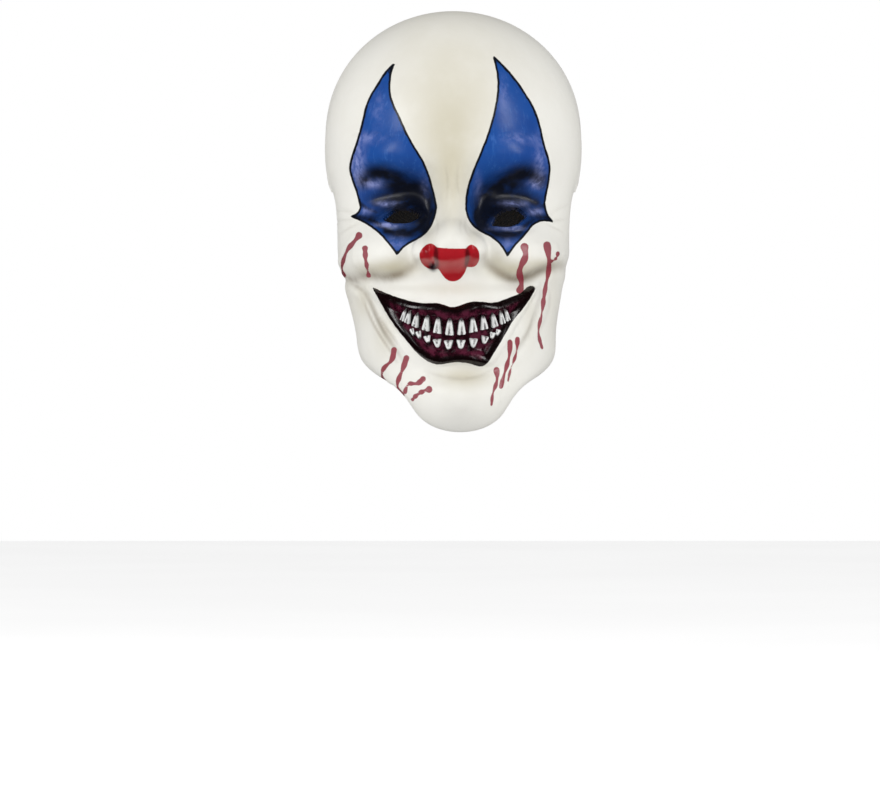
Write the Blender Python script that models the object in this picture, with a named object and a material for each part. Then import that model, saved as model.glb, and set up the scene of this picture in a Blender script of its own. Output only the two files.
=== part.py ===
"""Clown mask: one cast latex skin with open eye holes and an open back, a woven
elastic band behind it, and the two glued latex patches that hold the band's ends.

Metres, +Z up. The face looks along -Y and +X is to the right of someone who looks at it.
The origin is the inner top of the crown, where the mask sits when it is worn.
"""

import math

import bmesh
import bpy
import numpy as np
from mathutils import Vector
from mathutils.bvhtree import BVHTree

# Main sizes of the skin
MASK_HEIGHT = 0.262
MASK_WIDTH = 0.161
FACE_DEPTH = 0.114
CROWN_REACH = 0.060
WALL = 0.002
CHIN_SWAY = 0.0040
CLEARANCE = 0.0003

# Carved forms of the face
RELIEF = 0.010
NOSE_WIDTH = 0.0375
NOSE_HEIGHT = 0.026
NOSE_RISE = 0.022
NOSE_DROOP = 0.005
NOSE_DROP = 0.1525
NOSE_SHIFT = -0.0015

# Eye holes
EYE_SPACING = 0.068
EYE_DROP = 0.1285
EYE_WIDTH = 0.0245
EYE_OPENING = 0.0096
EYE_POINT = 0.35
EYE_SIDES = 16

# The grin and its teeth
MOUTH_WIDTH = 0.1012
MOUTH_DROP = 0.1729
GRIN_HEIGHT = 0.0474
LIP_WIDTH = 0.0080
LIP_RISE = 0.0024
MOUTH_RECESS = 0.0034
TOOTH_HEIGHT = 0.0092
TOOTH_RISE = 0.0030
TEETH_WIDTH = 0.066
BITE_DROP = 0.2025
BITE_CURVE = 0.0078
TOOTH_FAN = math.radians(82)
TOOTH_FILL = 0.85
TOOTH_TAPER = 0.2
TOOTH_ROOTING = 0.7

# Band and patches
BAND_WIDTH = 0.028
BAND_THICKNESS = 0.0012
BAND_BACK = 0.097
BAND_BACK_DROP = 0.137
PATCH_LENGTH = 0.036
PATCH_HEIGHT = 0.042
PATCH_THICKNESS = 0.0010
PATCH_START = -0.004
PATCH_RIM_GAP = 0.0016
SEAT_GAP = 0.0006

HALF_WIDTH = MASK_WIDTH / 2
BAND_TURN = PATCH_START + PATCH_LENGTH
BAND_END = PATCH_START + PATCH_LENGTH * 0.25

# Sections of the skin, from under the chin up the face and over the crown.
# Depths are shares of FACE_DEPTH in front and of CROWN_REACH behind, drops are
# shares of MASK_HEIGHT, widths are shares of HALF_WIDTH. The rim is the side edge.
# Name, middle depth, middle drop, rim depth, rim drop, width, tuck, fullness, steps
SECTIONS = (
    ("under_chin", -0.60, 0.977, -0.63, 0.950, 0.27, 0.00, 2.00, 2),
    ("chin_tip", -0.82, 1.000, -0.67, 0.931, 0.35, 0.00, 2.10, 2),
    ("chin_low", -0.96, 0.962, -0.68, 0.912, 0.41, 0.00, 2.20, 2),
    ("chin", -1.00, 0.908, -0.61, 0.891, 0.50, 0.00, 2.30, 2),
    ("chin_groove", -0.95, 0.855, -0.41, 0.866, 0.635, 0.00, 2.30, 3),
    ("lower_lip", -0.965, 0.809, -0.19, 0.832, 0.74, 0.02, 2.20, 4),
    ("mouth", -0.98, 0.752, -0.10, 0.771, 0.777, 0.04, 2.10, 4),
    ("upper_lip", -0.99, 0.698, -0.06, 0.702, 0.814, 0.05, 2.05, 4),
    ("nose_base", -0.95, 0.641, -0.044, 0.634, 0.845, 0.05, 2.05, 5),
    ("nose", -0.905, 0.565, -0.044, 0.565, 0.876, 0.04, 2.10, 5),
    ("nose_root", -0.85, 0.466, -0.040, 0.497, 0.907, 0.04, 2.20, 4),
    ("brow", -0.885, 0.382, -0.018, 0.446, 0.938, 0.05, 2.25, 4),
    ("forehead", -0.885, 0.290, 0.07, 0.417, 0.97, 0.07, 2.20, 3),
    ("upper_forehead", -0.80, 0.179, 0.20, 0.400, 0.988, 0.12, 2.15, 2),
    ("fore_top", -0.60, 0.076, 0.36, 0.391, 1.00, 0.18, 2.10, 2),
    ("fore_crown", -0.31, 0.017, 0.52, 0.384, 1.00, 0.22, 2.10, 2),
    ("crown", 0.00, 0.000, 0.66, 0.376, 1.00, 0.25, 2.10, 2),
    ("back_crown", 0.55, 0.015, 0.78, 0.366, 0.994, 0.26, 2.10, 2),
    ("rear_rim", 1.00, 0.065, 0.88, 0.354, 0.988, 0.26, 2.10, 0),
)
# The patches end a gap above the rim of the temples, and the band runs at their middle.
TEMPLE_RIM_DROP = next(row[4] for row in SECTIONS if row[0] == "fore_crown") * MASK_HEIGHT
BAND_SIDE_DROP = TEMPLE_RIM_DROP - WALL - PATCH_RIM_GAP - PATCH_HEIGHT / 2

# Rows of teeth: count, spread as a share of TEETH_WIDTH, height as a share of
# TOOTH_HEIGHT, side of the bite line, and width at the root as a share of the bite's.
TOOTH_ROWS = (
    ("upper", 12, 1.00, 1.00, 1, 0.60),
    ("lower", 10, 0.85, 0.85, -1, 0.55),
)

COLUMNS = 40
CENTRE_SPACING = 0.50

# Stations along half of the band, along its held end, and lines across it
BAND_STEPS = 15
END_STEPS = 6
BAND_LINES = 4
PATCH_ROWS = 8
PATCH_LINES = 9
GRIN_POINTS = 41

# Soft forms, mirrored left and right where the place isn't 0. Places and spreads
# across are shares of HALF_WIDTH, drops and spreads down are shares of MASK_HEIGHT,
# and the rise is a share of RELIEF.
# Name, place across, drop, spread across, spread down, rise
FORMS = (
    ("forehead_boss", 0.35, 0.237, 0.30, 0.084, 0.20),
    ("brow_ridge", 0.42, 0.345, 0.27, 0.044, 0.65),
    ("frown", 0.00, 0.405, 0.12, 0.040, 0.20),
    ("eye_socket", 0.41, 0.445, 0.25, 0.048, -0.95),
    ("inner_socket", 0.22, 0.475, 0.10, 0.050, -0.45),
    ("eyelid", 0.41, 0.487, 0.17, 0.032, 0.60),
    ("nose_bridge", 0.00, 0.475, 0.12, 0.075, 0.95),
    ("lower_bridge", 0.00, 0.550, 0.15, 0.050, 0.90),
    ("cheek", 0.53, 0.578, 0.26, 0.062, 1.15),
    ("cheek_fold", 0.46, 0.652, 0.22, 0.016, -0.35),
    ("muzzle", 0.00, 0.735, 0.56, 0.110, 0.60),
    ("cheek_hollow", 0.66, 0.725, 0.14, 0.080, -0.25),
    ("temple_hollow", 0.85, 0.400, 0.12, 0.070, -0.20),
    ("chin_ball", 0.00, 0.920, 0.22, 0.050, 0.65),
)

# Swellings of the nose, in shares of its width and height, and their share of its rise.
# Name, place across, spread across, spread down, rise
NOSE_FORMS = (
    ("bulb", 0.00, 0.36, 0.50, 1.00),
    ("wing", 0.33, 0.20, 0.38, 0.55),
)

# Outline of the painted grin. Across is a share of half the mouth's width, the two
# drops below its corners are shares of GRIN_HEIGHT.
# Across, upper edge, lower edge
GRIN = (
    (-1.00, 0.00, 0.00),
    (-0.89, 0.04, 0.22),
    (-0.78, 0.08, 0.42),
    (-0.61, 0.15, 0.66),
    (-0.39, 0.21, 0.92),
    (-0.20, 0.21, 1.00),
    (0.00, 0.26, 0.99),
    (0.12, 0.21, 0.99),
    (0.23, 0.19, 1.00),
    (0.41, 0.19, 0.97),
    (0.58, 0.18, 0.68),
    (0.69, 0.13, 0.49),
    (0.82, 0.07, 0.31),
    (0.94, -0.01, 0.15),
    (1.00, 0.01, 0.01),
)


def smooth_curve(knots, values, places):
    """Natural cubic spline through the rows of a table, read at the places given."""
    gaps = np.diff(knots)
    slopes = np.diff(values, axis=0) / gaps[:, None]
    count = len(knots)
    matrix = np.eye(count)
    right = np.zeros(values.shape)
    for i in range(1, count - 1):
        matrix[i, i - 1:i + 2] = gaps[i - 1], 2 * (gaps[i - 1] + gaps[i]), gaps[i]
        right[i] = 6 * (slopes[i] - slopes[i - 1])
    bends = np.linalg.solve(matrix, right)
    span = np.clip(np.searchsorted(knots, places) - 1, 0, count - 2)
    gap = gaps[span][:, None]
    past = (places - knots[span])[:, None]
    left = gap - past
    curved = (bends[span] * left**3 + bends[span + 1] * past**3) / (6 * gap)
    start = (values[span] / gap - bends[span] * gap / 6) * left
    end = (values[span + 1] / gap - bends[span + 1] * gap / 6) * past
    return curved + start + end


def depth_of(share):
    """A depth share is measured forward on the face and backward behind the crown."""
    return share * (FACE_DEPTH if share < 0 else CROWN_REACH)


def section_rows():
    """Every row of the grid: middle y and z, rim y and z, half width, tuck, fullness."""
    table = []
    for _, mid_depth, mid_drop, rim_depth, rim_drop, width, tuck, full, _ in SECTIONS:
        table.append((
            depth_of(mid_depth), WALL - mid_drop * MASK_HEIGHT,
            depth_of(rim_depth), WALL - rim_drop * MASK_HEIGHT,
            width * HALF_WIDTH, tuck, full,
        ))
    table = np.array(table)
    knots = np.concatenate(([0], np.cumsum(np.hypot(*np.diff(table[:, :2], axis=0).T))))
    places = [knots[-1]]
    for index, section in enumerate(SECTIONS[:-1]):
        steps = section[-1]
        places.extend(np.linspace(knots[index], knots[index + 1], steps, endpoint=False))
    return smooth_curve(knots, table, np.sort(places))


def base_grid():
    """Points of the uncarved skin, as rows by columns by three."""
    mid_y, mid_z, rim_y, rim_z, half, tuck, full = section_rows().T[:, :, None]
    across = np.linspace(-1, 1, COLUMNS)[None, :]
    across = CENTRE_SPACING * across + (1 - CENTRE_SPACING) * across**3
    tuck = np.clip(tuck, 0, None)
    angle = across * (math.pi / 2 + np.arcsin(tuck))
    pull = tuck ** (2 / full)
    centre_y = (rim_y + pull * mid_y) / (1 + pull)
    centre_z = (rim_z + pull * mid_z) / (1 + pull)
    cosine = np.cos(angle)
    reach = np.sign(cosine) * np.abs(cosine) ** (2 / full)
    x = half * np.sin(angle)
    y = centre_y + (mid_y - centre_y) * reach
    z = centre_z + (mid_z - centre_z) * reach
    return np.stack(np.broadcast_arrays(x, y, z), axis=-1)


def grid_normals(grid):
    """Outward normals of a grid of points."""
    along_rows = np.gradient(grid, axis=0)
    along_columns = np.gradient(grid, axis=1)
    normals = np.cross(along_columns, along_rows)
    return normals / np.linalg.norm(normals, axis=-1, keepdims=True)


def smoothed(grid, rounds):
    """The grid with each inner point drawn towards its neighbours."""
    grid = grid.copy()
    for _ in range(rounds):
        padded = np.pad(grid, ((1, 1), (1, 1), (0, 0)), mode="edge")
        around = padded[:-2, 1:-1] + padded[2:, 1:-1] + padded[1:-1, :-2] + padded[1:-1, 2:]
        grid = grid / 2 + around / 8
    return grid


def sway(z):
    """Sideways drift of the lower face, none above the nose and all of it at the chin."""
    share = np.clip((-z - NOSE_DROP) / (MASK_HEIGHT - NOSE_DROP), 0, 1)
    return CHIN_SWAY * share * share * (3 - 2 * share)


def soft_forms(x, z):
    """Rise of the skin from the table of soft forms."""
    rise = np.zeros_like(x)
    for _, place, drop, spread_x, spread_z, share in FORMS:
        for side in ((-1, 1) if place else (1,)):
            dx = (x - side * place * HALF_WIDTH) / (spread_x * HALF_WIDTH)
            dz = (z + drop * MASK_HEIGHT) / (spread_z * MASK_HEIGHT)
            rise += share * RELIEF * np.exp(-dx * dx - dz * dz)
    return rise


def nose_swell(x, z):
    """The bulb of the nose with a wing on each side, from 0 to 1."""
    swell = np.zeros_like(x)
    for _, place, spread_x, spread_z, share in NOSE_FORMS:
        for side in ((-1, 1) if place else (1,)):
            dx = (x - NOSE_SHIFT - side * place * NOSE_WIDTH) / (spread_x * NOSE_WIDTH)
            dz = (z + NOSE_DROP) / (spread_z * NOSE_HEIGHT)
            swell = np.hypot(swell, share * np.exp(-np.hypot(dx, dz) ** 3))
    return swell


def grin_outline():
    """Closed outline of the grin in x and z, upper edge first."""
    table = np.array(GRIN)
    places = np.linspace(-1, 1, GRIN_POINTS)
    edges = smooth_curve(table[:, 0], table[:, 1:], places)
    x = places * MOUTH_WIDTH / 2
    upper = np.column_stack((x, -MOUTH_DROP - edges[:, 0] * GRIN_HEIGHT))
    lower = np.column_stack((x, -MOUTH_DROP - edges[:, 1] * GRIN_HEIGHT))
    return np.concatenate((upper, lower[-2:0:-1]))


def depth_inside(x, z, outline):
    """Distance from each point to a closed outline, positive inside it."""
    ends = np.roll(outline, -1, axis=0)
    nearest = np.full(x.shape, np.inf)
    inside = np.zeros(x.shape, dtype=bool)
    for (x0, z0), (x1, z1) in zip(outline, ends):
        run_x, run_z = x1 - x0, z1 - z0
        share = ((x - x0) * run_x + (z - z0) * run_z) / (run_x**2 + run_z**2)
        share = np.clip(share, 0, 1)
        nearest = np.minimum(nearest, np.hypot(x - x0 - share * run_x, z - z0 - share * run_z))
        if run_z:
            crosses = (z0 > z) != (z1 > z)
            inside ^= crosses & (x < x0 + run_x * (z - z0) / run_z)
    return np.where(inside, nearest, -nearest)


def smooth_step(low, high, value):
    share = np.clip((value - low) / (high - low), 0, 1)
    return share * share * (3 - 2 * share)


def mouth_relief(x, z):
    """Raised lips along the outline of the grin, and the hollow between them."""
    inside = depth_inside(x, z, grin_outline())
    lips = np.exp(-((inside - LIP_WIDTH / 2) / (LIP_WIDTH / 2)) ** 2)
    hollow = smooth_step(LIP_WIDTH * 0.5, LIP_WIDTH * 1.6, inside)
    return LIP_RISE * lips - MOUTH_RECESS * hollow


def skin_grid():
    """Points of the carved outer face of the skin."""
    grid = base_grid()
    normals = grid_normals(grid)
    x, z = grid[..., 0], grid[..., 2]
    in_front = grid[..., 1] < 0
    rise = soft_forms(x, z) + mouth_relief(x, z)
    swell = nose_swell(x, z)
    rise = np.where(in_front, rise + NOSE_RISE * swell, 0)
    carved = grid + normals * rise[..., None]
    carved[..., 2] -= np.where(in_front, NOSE_DROOP * swell**2, 0)
    carved[..., 0] += sway(carved[..., 2])
    return carved


def new_object(name, mesh_data):
    """Link a new object whose faces are turned outward."""
    mesh_data.name = name
    bm = bmesh.new()
    bm.from_mesh(mesh_data)
    bmesh.ops.recalc_face_normals(bm, faces=bm.faces)
    if bm.calc_volume(signed=True) < 0:
        bmesh.ops.reverse_faces(bm, faces=bm.faces)
    bm.to_mesh(mesh_data)
    bm.free()
    obj = bpy.data.objects.new(name, mesh_data)
    bpy.context.scene.collection.objects.link(obj)
    return obj


def sheet_mesh(outer, inner):
    """Closed plate between two grids of points that lie a wall apart."""
    rows, columns = outer.shape[:2]
    points = np.concatenate((outer.reshape(-1, 3), inner.reshape(-1, 3)))
    count = rows * columns
    faces = []
    for row in range(rows - 1):
        for column in range(columns - 1):
            a = row * columns + column
            quad = (a, a + 1, a + columns + 1, a + columns)
            faces.append(quad)
            faces.append(tuple(count + corner for corner in reversed(quad)))
    rim = list(range(columns))
    rim += [row * columns + columns - 1 for row in range(1, rows)]
    rim += [(rows - 1) * columns + column for column in range(columns - 2, -1, -1)]
    rim += [row * columns for row in range(rows - 2, 0, -1)]
    for here, following in zip(rim, rim[1:] + rim[:1]):
        faces.append((here, following, count + following, count + here))
    mesh_data = bpy.data.meshes.new("sheet")
    mesh_data.from_pydata(points.tolist(), [], faces)
    return mesh_data


def prism_mesh(corners, front, back):
    """Closed prism of an outline in x and z between two depths, a pair for each corner."""
    count = len(corners)
    points = [(x, y, z) for (x, z), y in zip(corners, front)]
    points += [(x, y, z) for (x, z), y in zip(corners, back)]
    faces = [tuple(range(count)), tuple(range(2 * count - 1, count - 1, -1))]
    for i in range(count):
        after = (i + 1) % count
        faces.append((i, count + i, count + after, after))
    mesh_data = bpy.data.meshes.new("prism")
    mesh_data.from_pydata(points, [], faces)
    return mesh_data


def boolean(target, operation, tool, solver="EXACT"):
    """Join or cut with a tool object that the build leaves out."""
    tool.hide_render = True
    tool.display_type = "WIRE"
    modifier = target.modifiers.new(tool.name, "BOOLEAN")
    modifier.operation = operation
    modifier.solver = solver
    modifier.object = tool


def eye_cutter(side):
    """Almond prism that opens one eye hole."""
    corners = []
    for step in range(EYE_SIDES):
        turn = 2 * math.pi * step / EYE_SIDES
        flat = 1 - EYE_POINT * math.cos(turn) ** 2
        x = side * EYE_SPACING / 2 + EYE_WIDTH / 2 * math.cos(turn)
        corners.append((x, -EYE_DROP + EYE_OPENING / 2 * flat * math.sin(turn)))
    ahead = [-1.5 * FACE_DEPTH] * EYE_SIDES
    behind = [-FACE_DEPTH / 3] * EYE_SIDES
    return new_object(f"eye_cutter_{side}", prism_mesh(corners, ahead, behind))


def skin_depth(surface, x, z):
    """Depth of the skin's outer face straight behind a point in front of it."""
    return surface.ray_cast(Vector((x, -2 * FACE_DEPTH, z)), Vector((0, 1, 0)))[0].y


def tooth(surface, name, corners):
    """One tapered tooth that stands on the skin, with its back sunk in the wall."""
    skin = [skin_depth(surface, x, z) for x, z in corners]
    dip = 0
    for here, other in ((0, 1), (1, 2), (2, 3), (3, 0), (0, 2), (1, 3)):
        x, z = ((a + b) / 2 for a, b in zip(corners[here], corners[other]))
        dip = max(dip, skin_depth(surface, x, z) - (skin[here] + skin[other]) / 2)
    front = [y - TOOTH_RISE for y in skin]
    back = [y + dip + TOOTH_ROOTING * WALL for y in skin]
    return new_object(name, prism_mesh(corners, front, back))


def teeth(surface):
    """Both rows of teeth, as single solids along the curved bite line."""
    made = []
    for row, count, spread, height_share, side, root_share in TOOTH_ROWS:
        half = TEETH_WIDTH / 2 * spread
        for index in range(count):
            turn = TOOTH_FAN * ((index + 0.5) / count * 2 - 1)
            bite = -BITE_DROP + BITE_CURVE * (half * math.sin(turn) / (TEETH_WIDTH / 2)) ** 2
            x = half * math.sin(turn) + float(sway(np.float64(bite)))
            pitch = half * math.cos(turn) * 2 * TOOTH_FAN / count
            width = TOOTH_FILL * pitch + 2 * CLEARANCE
            height = TOOTH_HEIGHT * height_share * (1 - TOOTH_TAPER * abs(turn) / TOOTH_FAN)
            edge, root = bite + side * CLEARANCE, bite + side * height
            root_width = width * root_share
            corners = [
                (x - width / 2, edge), (x + width / 2, edge),
                (x + root_width / 2, root), (x - root_width / 2, root),
            ]
            made.append(tooth(surface, f"{row}_tooth_{index + 1}", corners))
    return made


def joined(name, objects):
    """One object from several that don't touch."""
    bm = bmesh.new()
    for obj in objects:
        bm.from_mesh(obj.data)
        bpy.data.objects.remove(obj)
    mesh_data = bpy.data.meshes.new(name)
    bm.to_mesh(mesh_data)
    bm.free()
    return new_object(name, mesh_data)


def material(name, colour, roughness, metallic=0.0):
    made = bpy.data.materials.new(name)
    made.use_nodes = True
    shader = made.node_tree.nodes["Principled BSDF"]
    shader.inputs["Base Color"].default_value = (*colour, 1)
    shader.inputs["Roughness"].default_value = roughness
    shader.inputs["Metallic"].default_value = metallic
    return made


def finish(obj, surface_material):
    obj.data.materials.append(surface_material)
    obj.data.shade_smooth()
    obj.data.set_sharp_from_angle(angle=math.radians(50))


def build_skin():
    """The cast skin with its eye holes and teeth, and a search tree of its walls."""
    outer = skin_grid()
    normals = grid_normals(smoothed(outer, 3))
    inner = smoothed(outer - normals * WALL, 1)
    skin = new_object("mask_skin", sheet_mesh(outer, inner))
    surface = BVHTree.FromPolygons(
        [vertex.co for vertex in skin.data.vertices],
        [face.vertices for face in skin.data.polygons],
    )
    boolean(skin, "UNION", joined("teeth", teeth(surface)), "MANIFOLD")
    for side in (-1, 1):
        boolean(skin, "DIFFERENCE", eye_cutter(side))
    finish(skin, material("latex", (0.80, 0.77, 0.72), 0.42))
    return surface


def wall_inside(surface, side, y, z):
    """How far out the inner wall of the skin is at a height and depth, or None past its rim."""
    hit, normal, _, _ = surface.ray_cast(Vector((0, y, z)), Vector((side, 0, 0)))
    if hit is None:
        return None
    return abs(hit.x), abs(normal.x)


def seat(surface, side, y, z, gap):
    """Sideways place a gap inside the wall, or None past the rim."""
    found = wall_inside(surface, side, y, z)
    if found is None:
        return None
    return found[0] - gap / found[1]


def narrowest(surface, front):
    """Sideways place that clears the wall all the way from a depth to the rim."""
    heights = np.linspace(-BAND_BACK_DROP, -BAND_SIDE_DROP + BAND_WIDTH / 2, 16)
    depths = np.linspace(front, CROWN_REACH, 16)
    found = [seat(surface, 1, y, z, SEAT_GAP) for y in depths for z in heights]
    return min(place for place in found if place is not None)


def band_route(half):
    """Plan of one half of the band, from behind to its end: y, z, outward x and y, and
    sideways place."""
    back = BAND_BACK - BAND_TURN
    route = []
    for step in range(BAND_STEPS):
        share = step / (BAND_STEPS - 1)
        turn = math.pi / 2 * (1 - share)
        out = Vector((math.cos(turn) / half, math.sin(turn) / back)).normalized()
        z = -BAND_BACK_DROP + (BAND_BACK_DROP - BAND_SIDE_DROP) * float(smooth_step(0, 1, share))
        route.append((BAND_TURN + back * math.sin(turn), z, *out, half * math.cos(turn)))
    for step in range(1, END_STEPS + 1):
        y = BAND_TURN + (BAND_END - BAND_TURN) * step / END_STEPS
        route.append((y, -BAND_SIDE_DROP, 1, 0, half))
    return route


def band_place(surface, side, y, z, half):
    """Sideways place of the band's outer face: on the wall at its end, free at its turn."""
    hold = float(1 - smooth_step(BAND_END, BAND_TURN, y))
    return half + hold * (seat(surface, side, y, z, SEAT_GAP) - half)


def band_grids(surface, half):
    """Outer and inner faces of the band as grids along and across it."""
    half_route = band_route(half)
    stations = [(1, station) for station in reversed(half_route)]
    stations += [(-1, station) for station in half_route[1:]]
    outer, inner = [], []
    for side, (y, z, out_x, out_y, place) in stations:
        outer_line, inner_line = [], []
        for line in range(BAND_LINES):
            height = z + BAND_WIDTH * (line / (BAND_LINES - 1) - 0.5)
            reach = place
            if y < BAND_TURN:
                reach = band_place(surface, side, y, height, half)
            outer_line.append((side * reach, y, height))
            inner_x = reach - out_x * BAND_THICKNESS
            inner_line.append((side * inner_x, y - out_y * BAND_THICKNESS, height))
        outer.append(outer_line)
        inner.append(inner_line)
    return np.array(outer), np.array(inner)


def build_band(surface, half):
    band = new_object("head_elastic", sheet_mesh(*band_grids(surface, half)))
    finish(band, material("woven_elastic", (0.012, 0.012, 0.013), 0.85))


def build_patch(surface, half, side, name):
    """Glued patch over one end of the band: flat on the wall, raised where the band passes."""
    outer, inner = [], []
    for row in range(PATCH_ROWS):
        share = row / (PATCH_ROWS - 1)
        y = PATCH_START + PATCH_LENGTH * share
        outer_line, inner_line = [], []
        for line in range(PATCH_LINES):
            off = PATCH_HEIGHT * (line / (PATCH_LINES - 1) - 0.5)
            z = -BAND_SIDE_DROP + off
            beside = smooth_step(BAND_WIDTH / 2 + CLEARANCE, PATCH_HEIGHT / 2, abs(off))
            ahead = smooth_step(PATCH_START, PATCH_START + PATCH_LENGTH / 5, y)
            raised = float(ahead * (1 - beside))
            near = seat(surface, side, y, z, SEAT_GAP)
            over = band_place(surface, side, y, z, half) - BAND_THICKNESS - 2 * CLEARANCE
            place = near + raised * (over - near)
            outer_line.append((side * place, y, z))
            inner_line.append((side * (place - PATCH_THICKNESS), y, z))
        outer.append(outer_line)
        inner.append(inner_line)
    patch = new_object(name, sheet_mesh(np.array(outer), np.array(inner)))
    finish(patch, material(name, (0.74, 0.66, 0.52), 0.6))


def main():
    for obj in list(bpy.data.objects):
        bpy.data.objects.remove(obj, do_unlink=True)
    surface = build_skin()
    half = narrowest(surface, BAND_TURN)
    build_band(surface, half)
    build_patch(surface, half, -1, "elastic_patch_left")
    build_patch(surface, half, 1, "elastic_patch_right")


main()
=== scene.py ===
"""Clown mask, dressed: painted latex skin, teeth, woven elastic and glued patches.

Laid out as an add-on and run as a script. Everything is in metres in the frame of
the solids: the face looks along -Y, +Z is up, the origin is the inner top of the crown.
Outlines that were read off the photograph are in its pixels and pass through at_photo.
"""

import math

import bmesh
import bpy
import numpy as np
from bpy.props import FloatProperty, FloatVectorProperty, IntProperty, PointerProperty
from mathutils import Matrix, Vector
from mathutils.bvhtree import BVHTree


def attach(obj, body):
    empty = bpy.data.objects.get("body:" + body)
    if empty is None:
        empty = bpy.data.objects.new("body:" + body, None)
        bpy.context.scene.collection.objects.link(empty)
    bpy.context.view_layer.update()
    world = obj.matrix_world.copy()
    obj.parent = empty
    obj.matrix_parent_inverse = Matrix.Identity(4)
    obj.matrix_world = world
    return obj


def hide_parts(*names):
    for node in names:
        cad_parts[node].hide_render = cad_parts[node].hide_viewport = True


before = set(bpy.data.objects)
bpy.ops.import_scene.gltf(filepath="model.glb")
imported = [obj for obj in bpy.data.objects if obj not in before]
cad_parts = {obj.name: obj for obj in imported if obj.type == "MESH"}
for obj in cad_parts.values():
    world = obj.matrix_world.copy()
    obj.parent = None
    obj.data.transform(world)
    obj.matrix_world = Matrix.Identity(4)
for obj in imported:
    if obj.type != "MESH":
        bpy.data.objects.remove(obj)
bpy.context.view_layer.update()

bl_info = {
    "name": "Clown Mask",
    "version": (1, 0, 0),
    "blender": (4, 5, 0),
    "location": "View3D > Sidebar > Clown Mask",
    "description": "Builds a painted latex clown mask with its elastic and a studio",
    "category": "Object",
}

MM = 0.001
BODY = "root"
SHARP_ANGLE = math.radians(60)


def length(label, words, default):
    """A size in metres that a user may change."""
    return FloatProperty(name=label, description=words, default=default, min=0, unit="LENGTH")


def colour(label, words, default):
    """A linear colour that a user may change."""
    return FloatVectorProperty(
        name=label, description=words, default=default, size=3, min=0, max=1, subtype="COLOR")


class MaskSizes(bpy.types.PropertyGroup):
    """Sizes of the skin and its carved forms."""

    height: length("Height", "From the crown to the chin", 0.262)
    width: length("Width", "Across the widest part of the crown", 0.161)
    face_depth: length("Face depth", "From the sides' rim to the lips", 0.114)
    crown_reach: length("Crown reach", "How far the skin runs behind the crown", 0.060)
    wall: length("Wall", "Thickness of the latex", 0.002)
    chin_sway: length("Chin sway", "Sideways drift of the chin", 0.004)
    relief: length("Relief", "Unit of the soft carved forms", 0.010)
    nose_width: length("Nose width", "Across both wings of the nose", 0.0375)
    nose_height: length("Nose height", "From the top of the nose to its tip", 0.026)
    nose_rise: length("Nose rise", "How far the nose stands out", 0.022)
    nose_droop: length("Nose droop", "How far the nose hangs down", 0.005)
    nose_drop: length("Nose drop", "From the crown to the middle of the nose", 0.1525)
    lip_width: length("Lip width", "Width of the raised lips", 0.0080)
    lip_rise: length("Lip rise", "Height of the raised lips", 0.0026)
    inner_lip_rise: length("Inner lip rise", "Height of the thin inner lip", 0.0007)
    lip_groove: length("Lip groove", "Depth of the groove round the lips", 0.0005)
    mouth_recess: length("Mouth recess", "Depth of the hollow behind the lips", 0.0034)
    lid_rise: length("Lid rise", "Height of the rolled lid margins", 0.0009)
    lid_crease: length("Lid crease", "Depth of the crease round the lids", 0.0005)
    nostril_depth: length("Nostril depth", "Depth of the open nostril", 0.004)
    drip_rise: length("Run rise", "Thickness of the painted runs", 0.00035)
    tooth_depth: length("Tooth depth", "From the front of a tooth to its seat", 0.0025)
    tooth_sink: length("Tooth sink", "How far the teeth stand off the gums", 0.0007)


class BandSizes(bpy.types.PropertyGroup):
    """Sizes of the elastic and its patches."""

    width: length("Width", "Width of the band", 0.028)
    thickness: length("Thickness", "Thickness of the band with its ribs", 0.0012)
    back: length("Back", "How far behind the crown the band passes", 0.097)
    side_drop: length("Side drop", "Height of the band's ends below the crown", 0.076)
    back_drop: length("Back drop", "Height of the band below the crown, behind", 0.137)
    ribs: IntProperty(name="Ribs", description="Ribs across each face", default=13, min=3)
    patch_length: length("Patch length", "Patch along the band", 0.036)
    patch_height: length("Patch height", "Patch across the band", 0.042)
    patch_thickness: length("Patch thickness", "Thickness of a patch", 0.001)
    patch_start: FloatProperty(
        name="Patch start", description="Front edge of the patches", default=-0.004,
        unit="LENGTH")


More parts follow.
